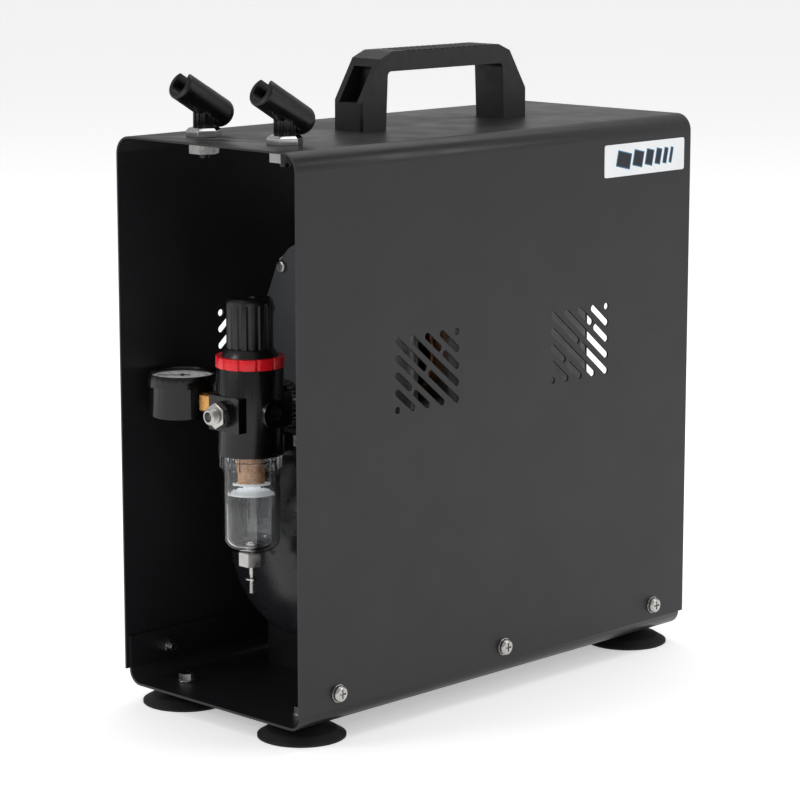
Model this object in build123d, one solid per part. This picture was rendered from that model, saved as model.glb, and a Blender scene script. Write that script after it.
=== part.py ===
from build123d import *
from math import atan2, cos, degrees, hypot, radians, sin, sqrt, tan
import os

# Airbrush compressor: a twin-cylinder pump on an air tank, under a bent sheet-metal housing that is open at both ends.
# Millimetres. X across, Y along the housing with the front at -Y, +Z up, Z = 0 on the table.
# The helpers work about the middle of the housing; save() moves every piece into the final frame.

# ---- housing ----
cover_width = 156.0
cover_length = 352.0
cover_height = 330.0
cover_bottom_z = 20.6
cover_sheet = 1.2
cover_bend = 11.0
tray_sheet = 1.5
tray_bottom_z = 11.0
tray_flange_height = 30.0
tray_bend = 9.5
tray_end_inset = 2.5
label_length = 78.5
label_height = 20.5
label_sheet = 0.4
label_corner = 1.5
label_rear_margin = 7.0
label_top_margin = 14.5

# ---- vents ----
vent_steps = 4
vent_pitch_y = 12.65
vent_pitch_z = 10.35
vent_slot_width = 4.4
vent_bridge = 0.4
vent_offset_y = 69.0
vent_drop = 137.2

# ---- fasteners ----
pan_thread_r = 2.5
pan_head_r = 5.0
pan_head_height = 3.2
pan_washer_r = 5.4
pan_washer_sheet = 0.8
pan_length = 10.0
pan_recess_width = 1.1
pan_recess_length = 5.4
pan_recess_depth = 1.6
hex_thread_r = 2.5
hex_head_flats = 8.0
hex_head_height = 4.0
hex_washer_r = 5.6
hex_washer_sheet = 1.0
hex_length = 8.0
thread_fit = 0.02
screw_hole_fit = 0.25
cover_nut_flats = 8.0
cover_nut_height = 4.0
cover_screw_inset_y = 31.5
cover_screw_drop = 11.0

# ---- suction feet ----
foot_rim_r = 26.7
foot_neck_r = 7.0
foot_wall = 2.6
foot_inset_x = 26.2
foot_inset_y = 26.7

# ---- carry handle ----
handle_width = 24.1
handle_length = 148.5
handle_height = 47.2
handle_offset_y = 16.0
handle_block_length = 21.0
handle_block_height = 16.7
handle_shoulder_inset = 16.0
handle_shoulder_height = 42.9
handle_top_inset = 26.5
handle_gap_height = 35.0
handle_gap_inset_top = 22.7
handle_gap_round = 3.0
handle_cheek = 4.4
handle_web = 3.2
handle_edge_round = 1.6
handle_screw_inset = 10.5
handle_hole_depth = 11.0
grip_groove_count = 15
grip_groove_pitch = 5.0
grip_groove_width = 2.0
grip_groove_depth = 0.7

# ---- airbrush holders ----
holder_offset_x = 35.0
holder_front_inset = 32.0
holder_bush_flats = 19.0
holder_bush_height = 5.5
holder_bush_shank_r = 5.0
holder_nut_flats = 16.0
holder_nut_height = 9.0
holder_stem_r = 3.0
holder_snap_r = 3.9
holder_snap_height = 2.5
holder_stem_fit = 0.05
holder_post_r = 5.6
holder_post_ribs = 10
holder_post_rib_r = 0.9
holder_axis_height = 21.0
holder_tilt = 30.0
holder_cradle_r = 8.9
holder_bore_r = 5.4
holder_cradle_length = 43.5
holder_end_wall = 8.0
holder_end_round = 6.5
holder_slot_width = 8.6
holder_slot_length = 20.0
holder_edge = 1.6

# ---- air tank ----
tank_r = 58.0
tank_sheet = 2.0
tank_clear_floor = 29.5
tank_front_inset = 68.0
tank_rear_inset = 60.0
tank_crown = 16.0
tank_knuckle = 12.0
saddle_sheet = 3.0
saddle_half_width = 46.0
saddle_top_drop = 34.0
saddle_foot_length = 18.0
saddle_front_inset = 23.0
saddle_rear_inset = 24.0
saddle_bolt_x = 36.0
tank_boss_r = 9.0
tank_boss_height = 4.5
drain_plug_inset = 53.0
drain_plug_flats = 14.0
drain_plug_head = 6.0
drain_boss_drop = 5.0
drain_thread_r = 5.0

# ---- pump platform and mounts ----
platform_clear_tank = 6.0
platform_sheet = 2.5
platform_half_width = 42.0
platform_end_inset = 4.0
platform_rib_half_width = 30.0
platform_rib_front_inset = 16.0
platform_rib_rear_inset = 31.0
mount_r = 8.0
mount_height = 11.5
mount_stud_r = 3.0
mount_stud_length = 6.0
mount_x = 29.0

# ---- pump ----
pump_half_length = 105.0
pump_feed_gap = 10.0
pump_plate = 2.0
crankcase_half_width = 40.0
crankcase_length = 48.0
crankcase_bottom_drop = 36.0
crankcase_top_rise = 32.0
crankcase_wall = 10.0
crank_chamber_r = 24.0
shaft_r = 6.0
crank_throw = 4.0
crank_pin_r = 9.0
crank_pin_length = 10.0
rod_thickness = 8.0
rod_eye_wall = 4.0
rod_half_width = 6.0
rod_reach = 20.0
running_fit = 0.05
bearing_r = 13.0
bearing_length = 9.0
cylinder_bore_r = 19.0
cylinder_wall = 3.0
cylinder_seat_rise = 22.0
cylinder_length = 26.0
piston_height = 18.2
piston_crown = 4.2
piston_skirt_wall = 3.9
piston_clear_top = 0.8
wrist_pin_r = 3.0
wrist_pin_drop = 11.2
valve_plate_sheet = 3.0
valve_port_r = 3.0
valve_port_x = 9.0
head_half_width = 30.0
head_shoulder_rise = 7.0
head_rise = 20.0
head_flat_half_width = 13.0
head_chamber_half = 10.0
head_chamber_height = 11.0
head_bolt_r = 2.0
head_bolt_x = 25.0
head_bolt_y = 16.0
head_bolt_head_r = 3.6
head_bolt_head_height = 3.0
head_bolt_depth = 6.0
plate_screw_r = 2.0
plate_screw_head_r = 3.9
plate_screw_head_height = 2.4
plate_screw_length = 6.0
plate_recess_width = 0.9
plate_recess_length = 4.4
plate_recess_depth = 1.2
plate_screw_low = (35.0, -30.0)
plate_screw_high = (36.0, 28.0)
plate_screw_head = (25.0, 54.0)

# ---- motor ----
stator_half_width = 42.0
stator_length = 56.0
stator_corner = 8.0
rotor_r = 25.0
air_gap = 0.4
winding_r_in = 28.0
winding_r_out = 38.0
winding_length = 10.0
tie_r = 5.0
tie_offset = 35.0
flange_length = 4.0
fan_r = 29.0
fan_hub_r = 10.0
fan_length = 8.0
fan_disc = 1.6
fan_blades = 9
fan_blade_sheet = 1.5
fan_clear = 3.0

# ---- pipes ----
pipe_r = 4.0
pipe_wall = 1.0
pipe_bend = 10.0
pipe_nut_flats = 17.0
pipe_nut_length = 7.0
delivery_inset_x = 10.0
delivery_boss_rise = 12.0
feed_gap = 48.0
union_r = 14.5
union_length = 9.0
union_knurls = 28
union_knurl_r = 0.7

# ---- switch box at the open rear ----
box_half_width = 30.0
box_depth = 22.0
box_height = 80.0
box_wall = 2.0
box_rear_inset = 16.0
rocker_x = -12.0
rocker_rise = 58.0
rocker_half_width = 6.0
rocker_half_height = 10.0
rocker_depth = 7.0
rocker_proud = 3.0
rocker_peak = 1.5
rocker_gap = 0.5
rocker_tilt = 7.0
rocker_pin_r = 0.7
rocker_pin_reach = 1.2
gland_x = 13.0
gland_rise = 28.0
gland_flats = 17.0
gland_flange = 4.0
gland_nose_r = 7.0
gland_nose = 8.0
gland_bore_r = 3.6
gland_thread_r = 6.0

# ---- safety valve on the rear dome ----
valve_x = 33.0
valve_rise = 24.0
valve_body_r = 6.0
valve_cap_r = 4.6
valve_cap_length = 7.0
valve_body_length = 16.0
valve_sink = 5.0
valve_stem_r = 1.2
valve_stem_bore_depth = 6.0
ring_r = 6.0
ring_wire_r = 1.0

# ---- regulator ----
reg_front_inset = 28.0
port_z = 191.2
reg_body_r = 20.0
reg_body_drop = 26.2
reg_body_rise = 26.4
reg_boss_half_x = 13.0
reg_boss_half_z = 10.4
reg_boss_reach = 21.5
reg_side_boss_r = 8.6
port_r = 4.86
port_depth = 9.5
passage_r = 3.0
bowl_seat_depth = 9.0
bowl_neck_r = 14.5
diaphragm_r = 16.4
diaphragm_sheet = 1.5
chamber_r = 13.0
chamber_depth = 6.5
poppet_bore_r = 3.0
poppet_stem_r = 1.5
poppet_head_r = 5.0
poppet_head_height = 3.0
poppet_travel = 1.5
poppet_chamber_r = 6.5
push_plate_r = 7.0
push_plate_height = 2.0
ring_outer_r = 20.5
ring_height = 6.6
ring_notches = 12
ring_notch_r = 1.3
bonnet_r = 17.0
bonnet_cone_r = 14.3
bonnet_cone_height = 4.6
bonnet_neck_r = 11.4
bonnet_height = 32.0
bonnet_top_wall = 5.0
spring_room_r = 8.5
seat_fit = 0.3
seat_ear_half = 1.2
seat_ear_reach = 9.8
seat_height = 3.5
seat_drop = 9.0
spring_wire_r = 0.9
spring_turns = 4
adjust_thread_r = 4.0
adjust_collar_r = 6.0
adjust_collar_height = 2.0
adjust_tail = 14.0
adjust_hex_flats = 6.0
adjust_hex_height = 6.5
knob_r = 14.0
knob_lift = 11.2
knob_height = 29.8
knob_room_r = 11.9
knob_room_gap = 1.6
knob_hub_gap = 0.1
knob_flutes = 16
knob_flute_r = 1.9
knob_flute_depth = 0.7
knob_flute_inset = 3.4
knob_chamfer = 1.6
knob_dimple_r = 3.6
knob_dimple_depth = 1.2
plug_recess_flats = 5.0
plug_recess_depth = 4.0
plug_sink = 1.2
collar_r = 8.0
collar_length = 3.0
nipple_flats = 14.0
nipple_hex = 4.0
nipple_thread = 5.5
nipple_bore_r = 2.4

# ---- pressure gauge ----
gauge_wall_gap = 2.2
gauge_offset_x = 60.8
gauge_rise = 1.8
gauge_bezel_r = 21.8
gauge_case_r = 21.0
gauge_height = 26.5
gauge_bezel_height = 7.3
gauge_wall = 1.6
gauge_dial_drop = 3.4
gauge_dial_sheet = 0.6
gauge_dial_r = 19.2
gauge_lens_drop = 0.6
gauge_lens_sheet = 1.2
gauge_needle_sheet = 0.4
gauge_needle_reach = 14.8
gauge_needle_tail = 5.0
gauge_needle_half = 0.8
gauge_pivot_r = 1.6
gauge_pin_r = 0.6
gauge_needle_gap = 0.5
gauge_zero_turn = 225.0
gauge_tube_r = 1.8
gauge_tube_ring_r = 12.0
gauge_tube_turn = 250.0
gauge_tube_bore_r = 1.5
stem_flats = 11.5

# ---- filter bowl ----
bowl_collar_r = 17.9
bowl_collar_height = 8.5
bowl_r = 17.4
bowl_wall = 2.8
bowl_height = 59.4
bowl_bottom_round = 8.5
bowl_shoulder = 4.0
bowl_lugs = 16
bowl_lug_half = 1.1
bowl_lug_proud = 0.8
filter_r = 8.0
filter_length = 16.5
filter_bore_r = 3.4
spindle_r = 2.4
washer_r = 11.0
washer_sheet = 1.2
umbrella_r = 13.8
umbrella_gap = 1.2
umbrella_height = 5.2
drain_flats = 14.0
drain_height = 8.5
drain_thread_r = 4.0
drain_gap = 1.0
drain_pin_r = 1.7
drain_pin_drop = 27.0
drain_flange_r = 4.0
drain_flange_drop = 18.4
drain_flange_height = 1.2
drain_seal_r = 3.0
drain_seal_height = 1.6

# ---- places that follow from the sizes above ----
nipple_overhang = reg_boss_reach + collar_length + nipple_hex + nipple_thread - reg_front_inset
frame_shift_y = nipple_overhang / 2
cover_top_z = cover_bottom_z + cover_height
cover_inner_x = cover_width / 2 - cover_sheet
cover_front_y = -cover_length / 2
cover_rear_y = cover_length / 2
tray_floor_z = tray_bottom_z + tray_sheet
tray_inner_x = cover_inner_x - tray_sheet
cover_screw_z = tray_bottom_z + tray_flange_height - cover_screw_drop
tank_z = tray_floor_z + tank_clear_floor + tank_r
tank_front_y = cover_front_y + tank_front_inset
tank_rear_y = cover_rear_y - tank_rear_inset
saddle_front_y = tank_front_y + saddle_front_inset
saddle_rear_y = tank_rear_y - saddle_rear_inset
drain_plug_y = tank_front_y + drain_plug_inset
delivery_x = -(tank_r - delivery_inset_x)
reg_y = cover_front_y + reg_front_inset
gauge_x = -cover_inner_x + gauge_wall_gap + gauge_bezel_r
reg_x = gauge_x + gauge_offset_x
feed_y = reg_y + feed_gap
pump_front_y = feed_y + pump_feed_gap
pump_mid_y = pump_front_y + pump_half_length
platform_front_y = pump_front_y + platform_end_inset
platform_rear_y = 2 * pump_mid_y - platform_front_y
platform_z = tank_z + tank_r + platform_clear_tank
platform_top_z = platform_z + platform_sheet
shaft_z = platform_top_z + mount_height + crankcase_bottom_drop
crankcase_front_y = pump_front_y + pump_plate
cylinder_y = crankcase_front_y + (crankcase_length - crankcase_wall) / 2 + flange_length
cylinder_z = shaft_z + cylinder_seat_rise
cylinder_top_z = cylinder_z + cylinder_length
head_z = cylinder_top_z + valve_plate_sheet
head_top_z = head_z + head_rise - 2.0
stator_front_y = pump_mid_y - stator_length / 2
reg_body_bottom_z = port_z - reg_body_drop
reg_body_top_z = port_z + reg_body_rise
bonnet_top_z = reg_body_top_z + bonnet_height
knob_bottom_z = reg_body_top_z + knob_lift
knob_top_z = knob_bottom_z + knob_height
knob_room_top_z = bonnet_top_z + knob_room_gap
bowl_bottom_z = reg_body_bottom_z - bowl_height
filter_bottom_z = reg_body_bottom_z - filter_length
umbrella_z = filter_bottom_z - washer_sheet - umbrella_gap - umbrella_height
drain_pin_bottom_z = bowl_bottom_z - drain_pin_drop
drain_flange_z = bowl_bottom_z - drain_flange_drop
gauge_bottom_z = port_z + gauge_rise - gauge_height / 2
gauge_top_z = gauge_bottom_z + gauge_height
holder_y = cover_front_y + holder_front_inset


# ---- helpers ----
def block(x0, x1, y0, y1, z0, z1):
    return Pos((x0 + x1) / 2, (y0 + y1) / 2, (z0 + z1) / 2) * Box(x1 - x0, y1 - y0, z1 - z0)


def rod_z(radius, z0, z1, x=0.0, y=0.0):
    return Pos(x, y, (z0 + z1) / 2) * Cylinder(radius, z1 - z0)


def rod_y(radius, y0, y1, x=0.0, z=0.0):
    return Pos(x, (y0 + y1) / 2, z) * Rot(90, 0, 0) * Cylinder(radius, y1 - y0)


def rod_x(radius, x0, x1, y=0.0, z=0.0):
    return Pos((x0 + x1) / 2, y, z) * Rot(0, 90, 0) * Cylinder(radius, x1 - x0)


def hexagon(flats, length):
    return extrude(RegularPolygon(flats / 2, 6, major_radius=False), length / 2, both=True)


def hex_z(flats, z0, z1, x=0.0, y=0.0):
    return Pos(x, y, (z0 + z1) / 2) * hexagon(flats, z1 - z0)


def hex_y(flats, y0, y1, x=0.0, z=0.0):
    return Pos(x, (y0 + y1) / 2, z) * Rot(90, 0, 0) * hexagon(flats, y1 - y0)


def turned(points, x=0.0, y=0.0):
    """A solid of revolution about a vertical axis, from (radius, height) points."""
    return Pos(x, y, 0) * revolve(Plane.XZ * make_face(Polyline(*points, close=True)), Axis.Z)


def pipe(points, radius, wall, bend):
    """A round tube along straight runs joined by tangent arcs."""
    path = FilletPolyline(*points, radius=bend)
    end = Plane(origin=path @ 0, z_dir=path % 0)
    return sweep(end * Circle(radius) - end * Circle(radius - wall), path)


def around(count, piece):
    """Copies of a piece turned evenly about the Z axis."""
    return [Rot(0, 0, 360 * i / count) * piece for i in range(count)]


def solids_of(shapes):
    found = []
    for shape in shapes:
        found += shape.solids()
    return found


def save(node, *shapes):
    moved = [Pos(0, frame_shift_y, 0) * solid for solid in solids_of(shapes)]
    export_step(moved[0] if len(moved) == 1 else Compound(moved), f"parts/{node}.step")


def mirrored_pump(shape):
    """The rear copy of a piece of the front pump end."""
    return Pos(0, pump_mid_y, 0) * mirror(Pos(0, -pump_mid_y, 0) * shape, Plane.XZ)


def both_ends(*shapes):
    return list(shapes) + [mirrored_pump(shape) for shape in shapes]


# ---- fasteners ----
def pan_screw():
    """Cross-recess pan head on a captive washer. The underside of the washer is at z = 0, the thread runs down."""
    head = rod_z(pan_head_r, pan_washer_sheet, pan_washer_sheet + pan_head_height)
    head = fillet(head.faces().sort_by(Axis.Z)[-1].edges(), pan_head_height * 0.6)
    screw = head + rod_z(pan_washer_r, 0, pan_washer_sheet) + rod_z(pan_thread_r, -pan_length, 0)
    top = pan_washer_sheet + pan_head_height
    for size in ((pan_recess_length, pan_recess_width), (pan_recess_width, pan_recess_length)):
        screw -= Pos(0, 0, top - pan_recess_depth / 2) * Box(size[0], size[1], pan_recess_depth)
    return screw


def hex_bolt():
    """Hexagon head on a washer. The underside of the washer is at z = 0, the thread runs down."""
    head = hex_z(hex_head_flats, hex_washer_sheet, hex_washer_sheet + hex_head_height)
    return head + rod_z(hex_washer_r, 0, hex_washer_sheet) + rod_z(hex_thread_r, -hex_length, 0)


def plate_screw():
    """Small pan head screw. The underside of the head is at z = 0, the thread runs down."""
    head = rod_z(plate_screw_head_r, 0, plate_screw_head_height)
    head = fillet(head.faces().sort_by(Axis.Z)[-1].edges(), plate_screw_head_height * 0.6)
    screw = head + rod_z(plate_screw_r, -plate_screw_length, 0)
    for size in ((plate_recess_length, plate_recess_width), (plate_recess_width, plate_recess_length)):
        centre = Pos(0, 0, plate_screw_head_height - plate_recess_depth / 2)
        screw -= centre * Box(size[0], size[1], plate_recess_depth)
    return screw


cover_screw_ys = [cover_front_y + cover_screw_inset_y, 0.0, cover_rear_y - cover_screw_inset_y]
cover_screw_spots = [(side, y) for side in (-1, 1) for y in cover_screw_ys]
handle_front_y = handle_offset_y - handle_length / 2
handle_rear_y = handle_offset_y + handle_length / 2
handle_screw_ys = [handle_front_y + handle_screw_inset, handle_rear_y - handle_screw_inset]
foot_spots = [
    (sx * (cover_width / 2 - foot_inset_x), sy * (cover_length / 2 - foot_inset_y))
    for sx in (-1, 1)
    for sy in (-1, 1)
]
saddle_spots = [(sx * saddle_bolt_x, y) for sx in (-1, 1) for y in (saddle_front_y, saddle_rear_y)]


def saddle_bolt_y(y):
    """The saddle's foot turns towards the middle of the tank, and its bolt sits half way along it."""
    inward = 1 if y < pump_mid_y else -1
    return y + inward * saddle_foot_length / 2


# ---- housing ----
def vent_runs():
    """Start and end of each slot along its diagonal, in grid steps, with the corner it starts from."""
    runs = []
    for offset in range(-vent_steps, vent_steps + 1):
        steps = vent_steps - abs(offset)
        start = (max(offset, 0), max(-offset, 0))
        if steps and steps % 2 == 0:
            half = steps / 2
            pieces = [(0, half - vent_bridge / 2), (half + vent_bridge / 2, steps)]
        else:
            pieces = [(0, steps)]
        runs += [(start, piece) for piece in pieces]
    return runs


def vent_cutters(side, centre_y):
    """Diagonal slots through one side wall. They run down to the right as seen from outside."""
    centre_z = cover_top_z - vent_drop
    lean = -degrees(atan2(vent_pitch_z, vent_pitch_y))
    step = hypot(vent_pitch_y, vent_pitch_z)
    plane = Plane(origin=(side * cover_width / 2, centre_y, centre_z), x_dir=(0, side, 0), z_dir=(side, 0, 0))
    cutters = []
    for (column, row), (low, high) in vent_runs():
        middle = (low + high) / 2
        u = (column + middle - vent_steps / 2) * vent_pitch_y
        v = (vent_steps / 2 - row - middle) * vent_pitch_z
        if high > low:
            outline = Rot(0, 0, lean) * SlotCenterToCenter((high - low) * step, vent_slot_width)
        else:
            outline = Circle(vent_slot_width / 2)
        cutters.append(extrude(plane * Pos(u, v) * outline, 2 * cover_sheet, both=True))
    return cutters


def cover_shell():
    half = cover_width / 2
    outer = block(-half, half, cover_front_y, cover_rear_y, cover_bottom_z, cover_top_z)
    outer = fillet(outer.edges().filter_by(Axis.Y).group_by(Axis.Z)[-1], cover_bend)
    inner = block(-cover_inner_x, cover_inner_x, cover_front_y - 1, cover_rear_y + 1, 0, cover_top_z - cover_sheet)
    inner = fillet(inner.edges().filter_by(Axis.Y).group_by(Axis.Z)[-1], cover_bend - cover_sheet)
    shell = outer - inner
    cuts = []
    for side in (-1, 1):
        for end in (-1, 1):
            cuts += vent_cutters(side, end * vent_offset_y)
    hole_r = pan_thread_r + screw_hole_fit
    cuts += [rod_x(hole_r, side * half - 5, side * half + 5, y, cover_screw_z) for side, y in cover_screw_spots]
    cuts += [rod_z(hole_r, cover_top_z - 5, cover_top_z + 5, 0, y) for y in handle_screw_ys]
    bush_hole_r = holder_bush_shank_r + thread_fit
    for side in (-1, 1):
        cuts.append(rod_z(bush_hole_r, cover_top_z - 5, cover_top_z + 5, side * holder_offset_x, holder_y))
    return shell - cuts


def base_tray():
    front = cover_front_y + tray_end_inset
    rear = cover_rear_y - tray_end_inset
    top = tray_bottom_z + tray_flange_height
    outer = block(-cover_inner_x, cover_inner_x, front, rear, tray_bottom_z, top)
    outer = fillet(outer.edges().filter_by(Axis.Y).group_by(Axis.Z)[0], tray_bend)
    inner = block(-tray_inner_x, tray_inner_x, front - 1, rear + 1, tray_floor_z, top + 1)
    inner = fillet(inner.edges().filter_by(Axis.Y).group_by(Axis.Z)[0], tray_bend - tray_sheet)
    hole_r = pan_thread_r + screw_hole_fit
    wall_x = cover_inner_x
    cuts = [rod_x(hole_r, side * wall_x - 5, side * wall_x + 5, y, cover_screw_z) for side, y in cover_screw_spots]
    hole_r = hex_thread_r + screw_hole_fit
    cuts += [rod_z(hole_r, tray_bottom_z - 1, tray_floor_z + 1, x, y) for x, y in foot_spots]
    for x, y in saddle_spots:
        cuts.append(rod_z(hole_r, tray_bottom_z - 1, tray_floor_z + 1, x, saddle_bolt_y(y)))
    return outer - inner - cuts


def pan_screws():
    screws = []
    for side, y in cover_screw_spots:
        screws.append(Pos(side * cover_width / 2, y, cover_screw_z) * Rot(0, side * 90, 0) * pan_screw())
    for y in handle_screw_ys:
        screws.append(Pos(0, y, cover_top_z - cover_sheet) * Rot(180, 0, 0) * pan_screw())
    return screws


def cover_nuts():
    nuts = []
    for side, y in cover_screw_spots:
        nut = hex_z(cover_nut_flats, 0, cover_nut_height) - rod_z(pan_thread_r + thread_fit, -1, cover_nut_height + 1)
        nuts.append(Pos(side * tray_inner_x, y, cover_screw_z) * Rot(0, -side * 90, 0) * nut)
    return nuts


def label_plate():
    rear = cover_rear_y - label_rear_margin
    top = cover_top_z - label_top_margin
    x = cover_width / 2
    plate = block(x, x + label_sheet, rear - label_length, rear, top - label_height, top)
    return fillet(plate.edges().filter_by(Axis.X), label_corner)


def suction_foot(x, y):
    """A cup that narrows to a neck under the tray, hollow below."""
    slope = foot_rim_r - foot_neck_r
    outline = [
        (0, foot_wall + 2.4),
        (foot_neck_r, foot_wall + 1.8),
        (foot_rim_r - slope * 0.35, foot_wall),
        (foot_rim_r - 1.4, 0),
        (foot_rim_r, 0),
        (foot_rim_r, 1.2),
        (foot_rim_r - slope * 0.3, foot_wall + 2.2),
        (foot_neck_r + 2.5, tray_bottom_z - 3.4),
        (foot_neck_r, tray_bottom_z - 2.0),
        (foot_neck_r, tray_bottom_z),
        (0, tray_bottom_z),
    ]
    bolt_end_z = tray_floor_z - hex_length
    return turned(outline, x, y) - rod_z(hex_thread_r + thread_fit, bolt_end_z, tray_bottom_z + 1, x, y)


def hex_bolts():
    bolts = [Pos(x, y, tray_floor_z) * hex_bolt() for x, y in foot_spots]
    return bolts + [Pos(x, saddle_bolt_y(y), tray_floor_z + saddle_sheet) * hex_bolt() for x, y in saddle_spots]


def carry_handle():
    """A bridge handle. Points are (distance from its middle, height above the sheet), mirrored end for end."""
    half = handle_length / 2
    outer = [
        (half, 0),
        (half, handle_block_height),
        (half - handle_shoulder_inset, handle_shoulder_height),
        (half - handle_top_inset, handle_height),
    ]
    outline = outer + [(-u, h) for u, h in reversed(outer)]
    side = Plane(origin=(0, handle_offset_y, cover_top_z), x_dir=(0, 1, 0), z_dir=(1, 0, 0))
    body = extrude(side * make_face(Polyline(*outline, close=True)), handle_width / 2, both=True)
    body = fillet(body.edges().filter_by(Axis.X).group_by(Axis.Z)[-1], 6.0)
    body = fillet(body.edges().filter_by(Axis.Z), handle_edge_round)
    gap_low = half - handle_block_length
    gap_high = half - handle_gap_inset_top
    gap = [(gap_low, -1), (gap_high, handle_gap_height), (-gap_high, handle_gap_height), (-gap_low, -1)]
    opening = extrude(side * make_face(Polyline(*gap, close=True)), handle_width, both=True)
    opening = fillet(opening.edges().filter_by(Axis.X).group_by(Axis.Z)[-1], handle_gap_round)
    body -= opening
    for end in (-1, 1):
        pocket = [
            (end * (half + 1), handle_block_height),
            (end * (gap_low + handle_web), handle_block_height),
            (end * (gap_high + handle_web), handle_gap_height + handle_web),
            (end * (half + 1), handle_gap_height + handle_web),
        ]
        face = make_face(Polyline(*pocket, close=True))
        body -= extrude(side * face, handle_width / 2 - handle_cheek, both=True)
    for i in range(grip_groove_count):
        y = handle_offset_y + (i - (grip_groove_count - 1) / 2) * grip_groove_pitch
        top = cover_top_z + handle_height
        body -= block(-handle_width, handle_width, y, y + grip_groove_width, top - grip_groove_depth, top + 1)
    for y in handle_screw_ys:
        body -= rod_z(pan_thread_r + thread_fit, cover_top_z - 1, cover_top_z + handle_hole_depth, 0, y)
    return body


def holder_bush(side):
    x = side * holder_offset_x
    bottom = cover_top_z - cover_sheet - holder_nut_height
    bush = hex_z(holder_bush_flats, cover_top_z, cover_top_z + holder_bush_height, x, holder_y)
    bush = chamfer(bush.faces().sort_by(Axis.Z)[-1].edges(), holder_edge)
    bush += rod_z(holder_bush_shank_r, bottom, cover_top_z, x, holder_y)
    return bush - rod_z(holder_stem_r + holder_stem_fit, bottom - 1, cover_top_z + 10, x, holder_y)


def holder_nut(side):
    x = side * holder_offset_x
    top = cover_top_z - cover_sheet
    nut = hex_z(holder_nut_flats, top - holder_nut_height, top, x, holder_y)
    return nut - rod_z(holder_bush_shank_r + thread_fit, top - holder_nut_height - 1, top + 1, x, holder_y)


def airbrush_holder(side):
    """A post with a tilted cradle. The cradle is modelled along +Z with its mouth up, then leaned forwards."""
    x = side * holder_offset_x
    base = cover_top_z + holder_bush_height
    stem_end = cover_top_z - cover_sheet - holder_nut_height
    axis_z = cover_top_z + holder_axis_height
    half = holder_cradle_length / 2
    post = rod_z(holder_post_r, base, axis_z, x, holder_y)
    rib = rod_z(holder_post_rib_r, base, axis_z, holder_post_r)
    for piece in around(holder_post_ribs, rib):
        post += Pos(x, holder_y, 0) * piece
    cradle = rod_z(holder_cradle_r, -half, half)
    cradle = fillet(cradle.faces().sort_by(Axis.Z)[0].edges(), holder_end_round)
    cradle = fillet(cradle.faces().sort_by(Axis.Z)[-1].edges(), holder_edge)
    lean = Pos(x, holder_y, axis_z) * Rot(90 - holder_tilt, 0, 0)
    bore = rod_z(holder_bore_r, -half + holder_end_wall, half + 1)
    slot = block(-holder_slot_width / 2, holder_slot_width / 2, 0, holder_cradle_r + 1, half - holder_slot_length, half + 1)
    slot = fillet(slot.edges().filter_by(Axis.Y).group_by(Axis.Z)[0], holder_slot_width / 2 - 0.1)
    holder = post + lean * cradle - lean * (bore + slot)
    stem = rod_z(holder_stem_r, stem_end - holder_snap_height, base, x, holder_y)
    snap = turned([(0, -holder_snap_height), (holder_stem_r, -holder_snap_height), (holder_snap_r, 0), (0, 0)])
    return holder + stem + Pos(x, holder_y, stem_end - 0.1) * snap


# ---- air tank ----
def tank_solid(radius, front, rear, crown, knuckle):
    """A round vessel along Y with dished ends, from its radius, its two shoulder places and the rise of each end."""
    edge = Line((radius, front), (radius, rear))
    sphere_r = (radius**2 + crown**2) / (2 * crown)
    mid_r = radius / 2
    mid_rise = crown - (sphere_r - sqrt(sphere_r**2 - mid_r**2))
    front_end = ThreePointArc((0, front - crown), (mid_r, front - mid_rise), (radius, front))
    rear_end = ThreePointArc((radius, rear), (mid_r, rear + mid_rise), (0, rear + crown))
    axis = Line((0, rear + crown), (0, front - crown))
    face = make_face(front_end + edge + rear_end + axis)
    corners = face.vertices().sort_by(Axis.X)[-2:]
    return revolve(fillet(corners, knuckle), Axis.Y)


def tank_surface_z(x):
    return tank_z + sqrt(tank_r**2 - x**2)


def tank_surface_y(x, rise):
    """Where the rear dome stands, at a place off the tank's axis."""
    sphere_r = (tank_r**2 + tank_crown**2) / (2 * tank_crown)
    return tank_rear_y + tank_crown - sphere_r + sqrt(sphere_r**2 - x**2 - rise**2)


feed_boss_top_z = tank_z + tank_r + tank_boss_height
delivery_boss_top_z = tank_surface_z(delivery_x) + delivery_boss_rise
drain_boss_z = tank_z - tank_r - drain_boss_drop
delivery_y = 2 * pump_mid_y - cylinder_y


def air_tank():
    wall = tank_sheet
    shell = tank_solid(tank_r, tank_front_y, tank_rear_y, tank_crown, tank_knuckle)
    room = tank_solid(tank_r - wall, tank_front_y, tank_rear_y, tank_crown - wall, tank_knuckle - wall)
    room = Pos(0, 0, tank_z) * room
    tank = Pos(0, 0, tank_z) * shell
    tank += rod_z(tank_boss_r, tank_z + tank_r - 8, feed_boss_top_z, reg_x, feed_y)
    tank += rod_z(tank_boss_r, tank_z, delivery_boss_top_z, delivery_x, delivery_y)
    tank += rod_z(tank_boss_r, drain_boss_z, tank_z - tank_r + 6, 0, drain_plug_y)
    tank -= room
    tank -= rod_z(pipe_r + thread_fit, tank_z + tank_r - 10, feed_boss_top_z + 1, reg_x, feed_y)
    tank -= rod_z(pipe_r + thread_fit, tank_z, delivery_boss_top_z + 1, delivery_x, delivery_y)
    tank -= rod_z(drain_thread_r + thread_fit, drain_boss_z - 1, tank_z - tank_r + 8, 0, drain_plug_y)
    valve_y = tank_surface_y(valve_x, valve_rise)
    hole = rod_y(valve_body_r + thread_fit, valve_y - 12, valve_y + 12, valve_x, tank_z + valve_rise)
    return tank - hole


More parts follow.
